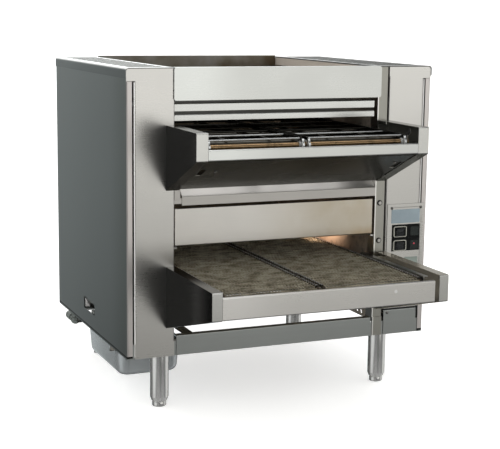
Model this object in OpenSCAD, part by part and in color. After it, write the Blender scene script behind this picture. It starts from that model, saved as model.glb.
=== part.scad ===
/* [Cabinet] */
// Width of the cabinet over its side panels
body_w = 900; // [860:1:960]
// Depth of the cabinet from the column fronts to the rear panel
body_d = 710; // [680:1:780]
// Height of the cabinet without its legs
body_h = 770; // [760:1:820]
// Width of each front column
column_w = 132; // [124:1:140]
// Thickness of the sheet metal
sheet = 1.5; // [1:0.1:2]
// Inner radius of the bends in the sheet metal
bend_r = 1.5; // [1:0.1:2]
// Inner radius of the outer bend of the top covers
cap_r = 6; // [3:0.5:8]
// Height of the turned-down edge of the top covers
cap_lip = 26; // [18:1:32]
// Overhang of the top covers past the side panels
cap_over = 2; // [2:0.5:4]
// Width of the front edge of each side panel
panel_flange = 15.5; // [12:0.5:18]
// Width of the vertical slit beside that edge
slit_w = 6.5; // [3:0.5:7]
// Distance of the slit's upper end from the top
slit_top = 33; // [28:1:40]
// Width of the post on the drive side
post_w = 30; // [26:1:34]
// Depth of the post on the drive side
post_d = 38; // [30:1:40]
// Height of the front hood
hood_h = 86; // [76:1:92]
// Radius of the front hood's corners
hood_r = 6; // [4:0.5:9]
// How far the front hood stands proud of the columns
hood_proud = 5; // [4:0.5:8]
// Height of the upper louvre strip
louvre_upper_h = 20; // [16:1:22]
// Height of the lower louvre strip
louvre_lower_h = 16; // [12:1:18]
// Dark gap above each louvre strip
louvre_gap = 9; // [8:1:10]
// Height of the lower front panel
base_panel_h = 56; // [50:1:62]
// Leg length of the angle that the base frame is made of
base_angle = 40; // [36:1:44]
// Thickness of the base frame's angle
base_t = 3; // [2:0.5:4]
// Length of the hand hole in each side panel
hand_w = 110; // [90:1:130]
// Height of the hand hole in each side panel
hand_h = 36; // [30:1:42]
// Height of the hand hole over the cabinet's lower edge
hand_z = 50; // [46:1:60]
// Number of slots in each top cover
cap_slots = 11; // [9:1:12]
// Width of each slot in the top covers
cap_slot_w = 40; // [30:1:44]

/* [Openings] */
// Height of the mouth between the lower belt and the flame shield
lower_mouth = 61; // [54:1:68]
// Height of the mouth between the upper chain and the lower louvre strip
upper_mouth = 28.5; // [24:0.5:34]
// Height of the flame shield
shield_h = 102; // [96:1:106]
// Gap between the flame shield and the opening rail
shield_gap = 8; // [5:0.5:12]
// Height of the upright face of the opening rail
rail_face_h = 24; // [22:1:26]
// Height and depth of the sloped face of the opening rail
rail_slope = 19; // [16:1:20]

/* [Upper infeed] */
// Height of the upper chain's top over the cabinet's lower edge
upper_belt_z = 603; // [596:1:608]
// Reach of the infeed in front of the columns
feeder_out = 225; // [210:1:250]
// Height of the infeed plates over the chain
feeder_rise = 18.5; // [15:0.5:22]
// Height of the infeed plates at the front
feeder_front_h = 71; // [66:1:76]
// Height of the infeed plates at the columns
feeder_rear_h = 172; // [166:1:174]
// Width of the infeed plates' turned edges
feeder_flange = 31; // [27:1:33]
// How far the left infeed plate laps the column
feeder_lap = 23.5; // [20:0.5:26]
// Height of the infeed's front rail
feeder_rail_h = 28; // [24:1:30]
// Length of the slots in the infeed's underside
feeder_slot_l = 46; // [36:1:56]
// Width of the slots in the infeed's underside
feeder_slot_w = 14; // [10:1:18]

/* [Discharge conveyor] */
// Height of the lower belt's top over the cabinet's lower edge
lower_belt_z = 236; // [230:1:242]
// Reach of the discharge conveyor in front of the columns
lower_out = 337; // [320:1:360]
// Height of the discharge plates over the belt
lower_rise = 9; // [8:0.5:12]
// Height of the discharge plates at the front
lower_front_h = 72; // [70:1:76]
// Height of the discharge plates at the columns
lower_rear_h = 167; // [150:1:176]
// Width of the discharge plates' turned edges
lower_flange = 27; // [24:1:29]
// How far the left discharge plate laps the column
lower_lap = 23; // [20:1:26]
// How far the right discharge plate stands past the post
lower_over = 8; // [5:1:10]
// Height of the discharge conveyor's front rail
lower_rail_h = 58; // [54:1:60]
// Gap between the front rail and the right discharge plate
lower_rail_gap = 13; // [10:1:16]

/* [Belts] */
// Space between the firebox's left wall and the belts
belt_margin = 16; // [15:0.5:18]
// Width of the left lane, before both lanes are fitted to the firebox
left_lane_w = 263; // [240:1:290]
// Width of the right lane, before both lanes are fitted to the firebox
right_lane_w = 286; // [260:1:310]
// Space between the belts and the firebox's right wall
drive_margin = 26; // [24:0.5:32]
// Gap between the lanes
lane_gap = 12; // [8:1:14]
// Pitch of the edge chains
chain_pitch = 12.7; // [12:0.1:13]
// Width of the edge chains
chain_w = 5; // [4:0.5:6]
// Height of a chain link at its pin
link_h = 10; // [9:0.5:11]
// Height of a chain link at its waist
link_waist = 6.8; // [6:0.2:8]
// Teeth of the infeed's sprockets
upper_teeth = 8; // [8:1:9]
// Teeth of the discharge conveyor's sprockets
lower_teeth = 11; // [11:1:12]
// Links between two flight bars of the infeed
flight_links = 8; // [6:1:12]
// Diameter of the flight bars
flight_d = 5; // [4:0.5:5.5]
// Diameter of the lower belt's cross rods
rod_d = 3.2; // [2.6:0.1:3.6]
// Diameter of the infeed's shafts
upper_shaft_d = 14; // [12:0.5:14]
// Diameter of the discharge conveyor's shafts
lower_shaft_d = 20; // [16:0.5:22]
// Thickness of the conveyor frames' side bars
bar_t = 4; // [3:0.5:5]

/* [Control panel] */
// Width of the control plate
plate_w = 120; // [114:1:126]
// Height of the control plate
plate_h = 189; // [180:1:200]
// Height of the control plate's upper edge over the cabinet's lower edge
plate_top = 381; // [376:1:390]
// Width of the fascia
fascia_w = 91; // [88:1:96]
// Height of the fascia
fascia_h = 77; // [74:1:84]
// Width of a switch bezel
bezel_w = 42.5; // [40:0.5:44]
// Height of a switch bezel
bezel_h = 31; // [30:0.5:34]
// Width of a rocker
rocker_w = 24; // [20:0.5:25]
// Tilt of a rocker to each side
rocker_tilt = 8; // [5:1:10]
// Width and height of a display window
window_w = 26; // [22:0.5:28]

/* [Legs and pan] */
// Height of the legs with their feet
leg_h = 156; // [146:1:180]
// Diameter of the leg tubes
leg_d = 52; // [46:1:58]
// Distance of the leg axes from the cabinet's sides
leg_in_x = 112; // [106:1:120]
// Distance of the leg axes from the cabinet's front and rear
leg_in_y = 66; // [60:1:72]
// Diameter of the foot's stem
stem_d = 24; // [20:1:28]
// Diameter of the foot's pad
pad_d = 40; // [36:1:46]
// Height of the foot's pad
pad_h = 16; // [12:1:20]
// Travel of the levelling foot
foot_travel = 25; // [15:1:30]
// Width of the grease pan
pan_w = 190; // [176:1:196]
// Length of the grease pan
pan_l = 325; // [300:1:350]
// Depth of the grease pan
pan_h = 88; // [70:1:96]
// Width of the grease pan's rim
pan_rim = 12; // [9:1:14]
// Radius of the grease pan's corners
pan_r = 38; // [30:1:44]
// Diameter of the gas inlet pipe
gas_d = 26.7; // [21:0.1:27]

/* [Hidden] */
$fn = 48;

// clearances
seat = 0.3;
run = 0.05;
slip = 0.1;
tooth_clear = 0.7;
bend_steps = 4;
rod_clear = 0.1;

// cabinet
half_w = body_w / 2;
front_y = (lower_out - body_d) / 2;
in_l = -half_w + column_w;
col_r = half_w - column_w;
post_gap = 3;
post_x1 = col_r - post_gap;
in_r = post_x1 - post_w;
post_y = 4;
post_wall = 2;
wall_y = post_y + post_d + seat;
wall_top = body_h - cap_lip - 2;
wall_bottom = base_angle + 4;
rail_front = sheet + 0.5;
slit_x0 = half_w - panel_flange;
slit_x1 = slit_x0 - slit_w;
column_return = 38;
panel_top = body_h - cap_r - seat;

// front hood at the top, and the strips over the infeed's mouth
hood_z = body_h + sheet - hood_h;
lower_strip_z = upper_belt_z + upper_mouth;
upper_strip_z = lower_strip_z + louvre_lower_h + louvre_gap;
hood_lap = 3;
hood_post_lap = 5;
hood_back = 24;
strip_y = 8;
strip_back = 22;

// wing plates
feeder_top = upper_belt_z + feeder_rise;
feeder_x0 = in_l - feeder_lap;
feeder_x1 = post_x1;
lower_top = lower_belt_z + lower_rise;
lower_x0 = in_l - lower_lap;
lower_x1 = post_x1 + lower_over;
rail_flange = 10;

// flame shield and opening rail
shield_z = lower_belt_z + lower_mouth;
shield_y = 11;
peg_d = 8;
rail_y = 3;
rail_z = shield_z + shield_h + shield_gap;
rail_top = rail_z + rail_face_h + rail_slope;
rail_x0 = in_l + 22;
rail_back = 60;

// belts
belt_x0 = in_l + belt_margin;
lane_fit = (in_r - in_l - belt_margin - lane_gap - drive_margin) / (left_lane_w + right_lane_w);
left_x1 = belt_x0 + left_lane_w * lane_fit;
right_x0 = left_x1 + lane_gap;
belt_x1 = right_x0 + right_lane_w * lane_fit;
strand_x = [belt_x0, left_x1 - chain_w, right_x0, belt_x1 - chain_w];
bar_gap = 3;
bar_l = belt_x0 - bar_gap - bar_t;
bar_r = belt_x1 + bar_gap;
upper_r = chain_pitch / (2 * sin(180 / upper_teeth));
lower_r = chain_pitch / (2 * sin(180 / lower_teeth));
upper_zc = upper_belt_z - link_h / 2 - upper_r;
lower_zc = lower_belt_z - link_h / 2 - lower_r;
upper_yf = -feeder_out + 40;
lower_yf = -lower_out + 45;
function whole_links(run_y, r, step) = step * round((2 * run_y + 2 * PI * r) / chain_pitch / step);
function run_for(links, r) = (links * chain_pitch - 2 * PI * r) / 2;
upper_links = whole_links(body_d - 150 - upper_yf, upper_r, flight_links);
lower_links = whole_links(body_d - 78 - lower_yf, lower_r, 1);
upper_run = run_for(upper_links, upper_r);
lower_run = run_for(lower_links, lower_r);
upper_yr = upper_yf + upper_run;
lower_yr = lower_yf + lower_run;
bush_wall = 5;
bush_flange = 2;
hub_l = 9;
shaft_x0 = bar_l - bush_flange - 2;
shaft_x1 = bar_r + bar_t + bush_flange + 2;
frame_y = 70;
strip_h = 5;
strip_w = 6;
strip_off = 60;
cross_d = 8;
spacer_d = 14;
guard_h = 7;
guard_w = 14;
guard_t = 2;

// drive
motor_x = in_r + sheet + seat;
standoff = 12;
box_x = motor_x + standoff;
box_l = 50;
box_half = 36;
motor_d = 70;
motor_l = 118;

// drip tray, burners and gas line
tray_z = rail_top + seat;
tray_h = 18;
tray_y1 = upper_yr - 30;
spout_y = body_d * 0.42;
spout_w = 40;
drain_x = in_l - 34;
drain_d = 32;
chute_clear = 14;
chute_rise = 20;
chute_reach = 62;
chute_curve = 160;
burner_tubes = 4;
tube_d = 32;
tube_z = (tray_z + tray_h + upper_zc - upper_r - link_h / 2) / 2;
heads = 3;
head_w = 118;
head_h = 46;
burner_clear = 30.5;
head_z = upper_belt_z + burner_clear + head_h;
head_y0 = 66;
head_pitch = (upper_yr - head_y0) / heads;
gas_x = -half_w + 30;
gas_z = -38;
gas_end = body_d - 12;
inlet_l = 40;
riser_y = body_d - 80;
pipe_d = 22;
branch_d = 12;
burner_pipe_x = in_l - 62;

// control panel
plate_x0 = lower_x1 + seat;
plate_t = 2;
fascia_x0 = plate_x0 + 16;
fascia_z0 = plate_top - 60 - fascia_h;
fascia_t = 0.8;
fascia_y = -plate_t - fascia_t;
switch_x = fascia_x0 + 4 + bezel_w / 2;
switch_z = [fascia_z0 + 1 + bezel_h / 2, fascia_z0 + fascia_h - 5 - bezel_h / 2];
window_x = fascia_x0 + fascia_w - 5 - window_w;
rocker_h = 22;
rocker_proud = 8;
pivot_y = -1;
pivot_d = 3;
switch_gap = 0.4;
switch_depth = 10;
switch_wall = 2;
bezel_y = -6;
swing = rocker_h / 2 + 1.6;

// fasteners
bolt_d = 6;
bolt_head = 10.5;
bolt_x = (in_r + post_x1) / 2;
post_bolt_z = [shield_z - 19, shield_z + 89];
screw_d = 4;
screw_x = [plate_x0 + 14, plate_x0 + plate_w - 12];
screw_z = [plate_top - 12, plate_top - plate_h + 6];

// legs and pan
gusset_x = leg_in_x + 54;
gusset_y = leg_in_y + 54;
plate_leg = 100;
plate_leg_t = 4;
stud_d = 12;
stem_l = foot_travel + 51;
pan_x0 = -half_w + 30;
pan_y0 = (body_d - pan_l) / 2 - 15;
runner_t = 2;
runner_h = 16;
runner_ledge = 9.3;
runner_flange = 12;
pan_top = -runner_h + runner_t + seat;
pan_t = 1.6;
pan_corner_x = [pan_x0 + pan_r, pan_x0 + pan_w - pan_r];
pan_corner_y = [pan_y0 + pan_r, pan_y0 + pan_l - pan_r];
pan_fillet = 20;
spine_x = pan_x0 + pan_w + pan_rim;
spine_w = 30;
gland_d = 20;
gland_y = body_d - 110;

steel = "silver";
bright = "gainsboro";
dark = "slategray";

// Cabinet coordinates: x from the middle, y from the column fronts, z from the cabinet's lower edge
module in_cabinet() {
    translate([0, front_y, leg_h]) children();
}

// Extrudes a (y, z) outline along x
module along_x(x0, length) {
    translate([x0, 0, 0]) rotate([90, 0, 90]) linear_extrude(length) children();
}

// Extrudes an (x, z) outline along y
module along_y(y0, length) {
    translate([0, y0 + length, 0]) rotate([90, 0, 0]) linear_extrude(length) children();
}

module block(x0, x1, y0, y1, z0, z1) {
    translate([x0, y0, z0]) cube([x1 - x0, y1 - y0, z1 - z0]);
}

module rod_x(x0, x1, y, z, d) {
    translate([x0, y, z]) rotate([0, 90, 0]) cylinder(h = x1 - x0, d = d);
}

module rod_y(x, y0, y1, z, d) {
    translate([x, y0, z]) rotate([-90, 0, 0]) cylinder(h = y1 - y0, d = d);
}

module rod_z(x, y, z0, z1, d) {
    translate([x, y, z0]) cylinder(h = z1 - z0, d = d);
}

module mirrored(side) {
    if (side < 0) children();
    else mirror([1, 0, 0]) children();
}

// Extrudes an (x, y) outline upwards
module upright(z0, height) {
    translate([0, 0, z0]) linear_extrude(height) children();
}

// Bent sheet: a polyline with round bends, and its parallel at the left of its direction
function unit(v) = v / norm(v);
function left_of(v) = [-v[1], v[0]];
function spun(v, a) = [v[0] * cos(a) - v[1] * sin(a), v[0] * sin(a) + v[1] * cos(a)];
function bend_at(pts, i, t, r) =
    let (
        a = unit(pts[i] - pts[i - 1]),
        b = unit(pts[i + 1] - pts[i]),
        turn = atan2(a[0] * b[1] - a[1] * b[0], a * b),
        hand = sign(turn),
        rho = r + (hand * t > 0 ? abs(t) : 0),
        start = pts[i] - a * rho * tan(abs(turn) / 2)
    ) [
        for (k = [0:bend_steps])
            let (n = spun(left_of(a), turn * k / bend_steps)) [start + hand * rho * (left_of(a) - n), n]
    ];
function bend_line(pts, t, r) =
    let (last = len(pts) - 1)
    concat(
        [[pts[0], left_of(unit(pts[1] - pts[0]))]],
        last < 2 ? [] : [for (i = [1:last - 1], p = bend_at(pts, i, t, is_list(r) ? r[i - 1] : r)) p],
        [[pts[last], left_of(unit(pts[last] - pts[last - 1]))]]
    );
function bend_outline(pts, t, r) = [for (p = bend_line(pts, t, r)) p[0]];
module bent(pts, t, r = bend_r) {
    line = bend_line(pts, t, r);
    last = len(line) - 1;
    polygon(concat([for (p = line) p[0]], [for (i = [last:-1:0]) line[i][0] + line[i][1] * t]));
}

// Base, panels and covers

module base_frame() {
    color(dark) in_cabinet() difference() {
        union() {
            edge = half_w - sheet - 0.5;
            rear = body_d - sheet - 0.5;
            for (side = [-1, 1]) mirrored(side) {
                block(-edge, -edge + base_t, rail_front, rear, 0, base_angle);
                block(-edge, -edge + base_angle, rail_front, rear, 0, base_t);
                block(-edge, -half_w + gusset_x, rail_front, gusset_y, 0, base_t);
                block(-edge, -half_w + gusset_x, body_d - gusset_y, rear, 0, base_t);
            }
            block(-edge, edge, rail_front, rail_front + base_t, 0, base_angle);
            block(-edge, edge, rail_front, rail_front + base_angle, 0, base_t);
            block(-edge, edge, rear - base_t, rear, 0, base_angle);
            block(-edge, edge, rear - base_angle, rear, 0, base_t);
            block(spine_x, spine_x + spine_w, rail_front, rear, 0, base_t);
        }
        for (x = [-half_w + leg_in_x, half_w - leg_in_x], y = [leg_in_y, body_d - leg_in_y])
            rod_z(x, y, -1, base_t + 1, stud_d + 2 * seat);
        rod_z(gas_x, riser_y, -1, base_t + 1, gas_d + 2);
        rod_z(half_w - base_angle / 2, gland_y, -1, base_t + 1, gland_d + 2 * slip);
    }
}

module side_panel(side) {
    hole_y = (body_d - hand_w) / 2 + 10;
    flange_top = body_h - slit_top - 1;
    color(dark) in_cabinet() mirrored(side) {
        difference() {
            union() {
                upright(0, flange_top)
                    bent([[-half_w + panel_flange, 0], [-half_w, 0], [-half_w, body_d]], -sheet);
                block(-half_w, -half_w + sheet, sheet + slip, body_d, flange_top - 1, panel_top);
            }
            block(-half_w - 1, -half_w + sheet + 1, hole_y, hole_y + hand_w, hand_z, hand_z + hand_h);
        }
        along_y(hole_y, hand_w) bent([[-half_w, hand_z + hand_h], [-half_w + 14, hand_z + 8]], sheet);
    }
}

module left_side_panel() {
    side_panel(-1);
}

module right_side_panel() {
    side_panel(1);
}

module rear_panel() {
    edge = half_w - sheet - 0.5;
    slots = 9;
    color(steel) in_cabinet() difference() {
        union() {
            block(-edge, edge, body_d - sheet, body_d, 0, body_h - cap_r / 2);
            block(in_l + seat, in_r - seat, body_d - sheet, body_d, 0, body_h + 5);
        }
        for (i = [0:slots - 1])
            block(post_x1 + 20, half_w - 30, body_d - sheet - 1, body_d + 1, 150 + i * 22, 158 + i * 22);
    }
}

module column_cover(side, bottom) {
    inner = -half_w + column_w;
    slit_end = body_h - slit_top;
    return_top = body_h - cap_lip - 1;
    fold_z = max(bottom, base_angle + 1);
    color(bright) in_cabinet() mirrored(side) {
        if (bottom < fold_z) block(-slit_x1, inner, 0, sheet, bottom, fold_z);
        upright(fold_z, slit_end - fold_z)
            bent([[-slit_x1, 14], [-slit_x1, 0], [inner, 0], [inner, column_return]], sheet);
        upright(slit_end, return_top - slit_end)
            bent([[-half_w, 0], [inner, 0], [inner, column_return]], sheet);
        along_y(0, sheet) polygon([
            [-half_w, return_top], [-half_w, panel_top], [-half_w + cap_r, body_h - slip],
            [inner, body_h - slip], [inner, return_top]
        ]);
    }
}

module left_column_cover() {
    column_cover(-1, 0);
    color(bright) in_cabinet()
        rod_x(in_l - sheet / 2, in_l + 10, shield_y + sheet / 2, shield_z - seat - peg_d / 2, peg_d);
}

module right_column_cover() {
    difference() {
        column_cover(1, base_panel_h + 21);
        in_cabinet() block(plate_x0 + 10, plate_x0 + plate_w - 18, -1, sheet + 1,
            plate_top - plate_h + 12, plate_top - 26);
    }
}

module top_cover(side, inner) {
    outer = -half_w - cap_over;
    pitch = (body_d - 60) / cap_slots;
    slot_x0 = -half_w + 18;
    slot_x1 = inner - 18;
    blade = 1.2;
    function slot_end(i) = 40 + i * pitch + cap_slot_w;
    color(bright) in_cabinet() mirrored(side) {
        difference() {
            along_y(-cap_over, body_d + cap_over) bent([
                [inner, body_h - cap_lip], [inner, body_h + sheet],
                [outer, body_h + sheet], [outer, body_h - cap_lip]
            ], sheet, [bend_r, cap_r]);
            for (y = [[-cap_over - 1, wall_y], [body_d - sheet - seat, body_d + 1]])
                block(inner - sheet - 1, inner + 1, y[0], y[1], body_h - cap_lip - 1, body_h - 0.01);
            for (i = [0:cap_slots - 1])
                block(slot_x0, slot_x1, slot_end(i) - cap_slot_w, slot_end(i), body_h - 1, body_h + sheet + 1);
        }
        for (i = [0:cap_slots - 1])
            along_x(slot_x0, slot_x1 - slot_x0)
                bent([[slot_end(i) - 14, body_h - 10], [slot_end(i) + blade, body_h + 0.5]], blade);
    }
}

module left_top_cover() {
    top_cover(-1, in_l);
}

module right_top_cover() {
    top_cover(1, -in_r);
}

module rounded(x0, x1, z0, z1, r) {
    translate([x0, z0 + r]) square([x1 - x0, z1 - z0 - 2 * r]);
    translate([x0 + r, z0]) square([x1 - x0 - 2 * r, z1 - z0]);
    for (x = [x0 + r, x1 - r], z = [z0 + r, z1 - r])
        translate([x, z]) circle(r = r);
}

// Shallow pan with round corners, and two flanges that reach into the opening
module front_hood() {
    x0 = in_l - hood_lap;
    x1 = in_r + hood_post_lap;
    top = body_h + sheet;
    back = -cap_over - seat;
    color(bright) in_cabinet() {
        difference() {
            along_y(-hood_proud, back + hood_proud) rounded(x0, x1, hood_z, top, hood_r);
            along_y(-hood_proud + sheet, hood_proud)
                rounded(x0 + sheet, x1 - sheet, hood_z + sheet, top - sheet, hood_r - sheet);
        }
        for (z = [hood_z, top - sheet])
            block(in_l + 0.5, in_r - 0.5, back, hood_back, z, z + sheet);
    }
}

module louvre_strips() {
    color(bright) in_cabinet() {
        for (s = [[upper_strip_z, louvre_upper_h], [lower_strip_z, louvre_lower_h]])
            along_x(in_l + 0.5, in_r - 9 - in_l) bent([
                [strip_y, s[0]], [strip_y, s[0] + s[1]],
                [strip_y + strip_back, s[0] + s[1] + louvre_gap - 1.5 * sheet]
            ], -sheet);
    }
}

module drive_side_post() {
    top = body_h - seat;
    z0 = base_angle + seat;
    toe_y = rail_front - sheet - 0.5;
    toe_lap = 14;
    color(steel) in_cabinet() difference() {
        union() {
            difference() {
                block(in_r, post_x1, post_y, post_y + post_d, z0, top);
                block(in_r + post_wall, post_x1 - post_wall, post_y + post_wall, post_y + post_d - post_wall,
                    z0 - 1, top + 1);
            }
            block(in_r, post_x1, toe_y, toe_y + sheet, 0.5, z0 + toe_lap);
            block(in_r, post_x1, toe_y + sheet - run, post_y + run, z0, z0 + toe_lap);
            rod_x(in_r - 10, in_r + post_wall / 2, shield_y + sheet / 2, shield_z - seat - peg_d / 2, peg_d);
        }
        for (z = post_bolt_z)
            rod_y(bolt_x, post_y - 1, post_y + post_wall + 1, z, bolt_d + 2 * slip);
    }
}

module opening_rail() {
    bracket_y = rail_y + sheet;
    color(bright) in_cabinet() {
        along_x(rail_x0, in_r - seat - rail_x0) bent([
            [rail_y, rail_z], [rail_y, rail_z + rail_face_h],
            [rail_y + rail_slope, rail_top], [rail_back, rail_top]
        ], -sheet);
        block(in_l + seat, rail_x0 + 10, bracket_y, shield_y - 1, rail_z + 5, rail_z + rail_face_h - 4);
        block(in_l + seat, rail_x0 - 5, rail_y - 1, shield_y - 1, rail_top - 27, rail_top - 1);
    }
}

module flame_shield() {
    x0 = in_l + 5;
    color(bright) in_cabinet() along_x(x0, in_r - 4 - x0) bent([
        [shield_y + 9, shield_z], [shield_y, shield_z],
        [shield_y, shield_z + shield_h], [shield_y + 6, shield_z + shield_h]
    ], -sheet);
}

module lower_front_panel() {
    x0 = in_l + 6;
    y0 = rail_front - sheet - 0.5;
    color(steel) in_cabinet() along_x(x0, in_r - 6 - x0)
        bent([[y0, 0.5], [y0, base_panel_h], [y0 + 18, base_panel_h]], -sheet);
}

module service_box_cover() {
    x0 = col_r + 3;
    y0 = rail_front - sheet - 0.5;
    color(steel) in_cabinet() along_x(x0, slit_x1 - x0)
        bent([[y0, 2], [y0, base_panel_h + 17], [y0 + 20, base_panel_h + 17]], -sheet);
}

module left_firebox_wall() {
    color("dimgray") in_cabinet() difference() {
        union() {
            block(in_l - sheet, in_l, wall_y, body_d - sheet - seat, wall_bottom, wall_top);
            block(in_l - sheet, in_l + 10, 120, tray_y1 - 20, tray_z - seat - 2, tray_z - seat);
        }
        block(in_l - sheet - 1, in_l + 11, spout_y - spout_w / 2 - 1, spout_y + spout_w / 2 + 1,
            tray_z - 3, tray_z + tray_h);
        for (i = [0:heads - 1])
            rod_x(in_l - sheet - 1, in_l + 1, head_y(i), head_z - head_h / 2, branch_d + 2);
        for (i = [0:burner_tubes - 1])
            rod_x(in_l - sheet - 1, in_l + 1, tube_y(i), tube_z, branch_d + 2);
    }
}

module right_firebox_wall() {
    vents = 9;
    color("dimgray") in_cabinet() difference() {
        union() {
            block(in_r, in_r + sheet, wall_y, body_d - sheet - seat, wall_bottom, wall_top);
            block(in_r - 10, in_r + sheet, 120, tray_y1 - 20, tray_z - seat - 2, tray_z - seat);
        }
        rod_x(in_r - 1, in_r + sheet + 1, upper_yr, upper_zc, upper_shaft_d + 8);
        rod_x(in_r - 1, in_r + sheet + 1, lower_yr, lower_zc, lower_shaft_d + 8);
        for (i = [0:vents - 1])
            along_x(in_r - 1, sheet + 2) translate([wall_y + 20 + i * 24, wall_bottom + 8])
                polygon([[0, 0], [8, 0], [18, 22], [10, 22]]);
    }
}

// Wing plates, front rails and the infeed's underside

module wing(side, outer, out, top, front_h, rear_h, flange) {
    outline = [[0, top - rear_h], [-out, top - front_h], [-out, top], [0, top]];
    dir = side < 0 ? 0 : -1;
    color(steel) in_cabinet() {
        along_x(outer + dir * sheet, sheet) polygon(bend_outline(outline, -sheet, bend_r));
        along_x(outer + dir * flange, flange) intersection() {
            bent(outline, -sheet);
            polygon(outline);
        }
        block(outer + dir * flange, outer + (dir + 1) * flange, -sheet, 0, top - rear_h + 12, top - 12);
    }
}

module feeder_left_wing() {
    wing(-1, feeder_x0, feeder_out, feeder_top, feeder_front_h, feeder_rear_h, feeder_flange);
}

module feeder_right_wing() {
    wing(1, feeder_x1, feeder_out, feeder_top, feeder_front_h, feeder_rear_h, feeder_flange);
}

module discharge_left_wing() {
    wing(-1, lower_x0, lower_out, lower_top, lower_front_h, lower_rear_h, lower_flange);
}

module discharge_right_wing() {
    wing(1, lower_x1, lower_out, lower_top, lower_front_h, lower_rear_h, lower_flange);
}

module front_rail(x0, x1, out, z0, h) {
    color(bright) in_cabinet() along_x(x0, x1 - x0)
        bent([[-out + rail_flange, z0], [-out, z0], [-out, z0 + h], [-out + rail_flange, z0 + h]], -sheet);
}

module feeder_front_rail() {
    front_rail(feeder_x0 + feeder_flange + seat, feeder_x1 - feeder_flange - seat, feeder_out,
        feeder_top - feeder_front_h + 0.5, feeder_rail_h);
}

module discharge_front_rail() {
    front_rail(lower_x0 + lower_flange + seat, lower_x1 - lower_flange - lower_rail_gap, lower_out,
        lower_top - lower_front_h + 0.5, lower_rail_h);
}

module feeder_underside() {
    x0 = feeder_x0 + sheet + seat;
    x1 = feeder_x1 - sheet - seat;
    drop = feeder_rear_h - feeder_front_h;
    slope = atan2(drop, feeder_out);
    lift = (sheet + seat) / cos(slope);
    front_z = feeder_top - feeder_front_h + lift;
    y0 = -feeder_out + rail_flange + sheet + 0.5;
    y1 = -sheet - seat;
    function under_z(y) = front_z - (y + feeder_out) * tan(slope);
    color(dark) in_cabinet() difference() {
        along_x(x0, x1 - x0) bent([[y1, under_z(y1)], [y0, under_z(y0)]], -sheet);
        for (x = [x0 + feeder_flange + 6, x1 - feeder_flange - 6 - feeder_slot_w])
            block(x, x + feeder_slot_w, -feeder_out * 0.7, -feeder_out * 0.7 + feeder_slot_l,
                under_z(0) - 20, front_z + 20);
    }
}

// Chains, belts, sprockets and shafts

// Point and outward direction at a length s along a loop round two axes
function turned(length, r) = length / r * 180 / PI;
function loop_point(s, run_y, r) =
    s < run_y ? [[s, r], [0, 1]] :
    s < run_y + PI * r ?
        let (a = turned(s - run_y, r), out = [sin(a), cos(a)]) [[run_y, 0] + r * out, out] :
    s < 2 * run_y + PI * r ? [[2 * run_y + PI * r - s, -r], [0, -1]] :
    let (a = turned(s - 2 * run_y - PI * r, r), out = [-sin(a), -cos(a)]) [r * out, out];
function loop_side(links, run_y, r, side) = [
    for (j = [0:2 * links - 1])
        let (p = loop_point(j * chain_pitch / 2, run_y, r), h = j % 2 == 0 ? link_h / 2 : link_waist / 2)
        p[0] + p[1] * h * side
];

module strand(links, run_y, r, pin_d, step) {
    difference() {
        polygon(loop_side(links, run_y, r, 1));
        polygon(loop_side(links, run_y, r, -1));
        for (i = [0:step:links - 1])
            translate(loop_point(i * chain_pitch, run_y, r)[0]) circle(d = pin_d + 2 * rod_clear);
    }
}

module lane(x0, x1, yf, zc, links, run_y, r, pin_d, step) {
    in_cabinet() translate([0, yf, zc]) {
        for (x = [x0, x1 - chain_w])
            along_x(x, chain_w) strand(links, run_y, r, pin_d, step);
        for (i = [0:step:links - 1]) {
            p = loop_point(i * chain_pitch, run_y, r)[0];
            rod_x(x0 + 0.5, x1 - 0.5, p[0], p[1], pin_d);
        }
    }
}

module upper_left_flights() {
    color("peru")
        lane(belt_x0, left_x1, upper_yf, upper_zc, upper_links, upper_run, upper_r, flight_d, flight_links);
}

module upper_right_flights() {
    color("peru")
        lane(right_x0, belt_x1, upper_yf, upper_zc, upper_links, upper_run, upper_r, flight_d, flight_links);
}

module lower_left_belt() {
    color("darkkhaki") lane(belt_x0, left_x1, lower_yf, lower_zc, lower_links, lower_run, lower_r, rod_d, 1);
}

module lower_right_belt() {
    color("darkkhaki") lane(right_x0, belt_x1, lower_yf, lower_zc, lower_links, lower_run, lower_r, rod_d, 1);
}

module shaft(x0, x1, y, z, d) {
    color("sienna") in_cabinet() rod_x(x0, x1, y, z, d);
}

module upper_front_shaft() {
    shaft(shaft_x0, shaft_x1, upper_yf, upper_zc, upper_shaft_d);
}

module lower_front_shaft() {
    shaft(shaft_x0, shaft_x1, lower_yf, lower_zc, lower_shaft_d);
}

module upper_drive_shaft() {
    shaft(shaft_x0, box_x + box_l + 4, upper_yr, upper_zc, upper_shaft_d);
}

module lower_drive_shaft() {
    shaft(shaft_x0, box_x + box_l + 4, lower_yr, lower_zc, lower_shaft_d);
}

// Toothed wheel whose tips stay inside the chain's links, with a hub on the side of its lane
module sprocket(teeth, r, bore_d, hub_dir) {
    tip = r - link_h / 2 - tooth_clear;
    root = tip - 2.4;
    step = 360 / teeth;
    difference() {
        union() {
            linear_extrude(chain_w) polygon([
                for (i = [0:teeth - 1], p = [[0.12, tip], [0.34, root], [0.66, root], [0.88, tip]])
                    p[1] * [cos((i + p[0]) * step), sin((i + p[0]) * step)]
            ]);
            translate([0, 0, hub_dir > 0 ? 0 : chain_w - hub_l]) cylinder(h = hub_l, r = root);
        }
        translate([0, 0, -hub_l]) cylinder(h = 3 * hub_l, d = bore_d + 2 * slip);
    }
}

module sprockets(y, z, teeth, r, bore_d) {
    color("lightgray") in_cabinet() for (i = [0:3])
        translate([strand_x[i], y, z]) rotate([0, 90, 0]) sprocket(teeth, r, bore_d, i % 2 == 0 ? 1 : -1);
}

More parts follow.
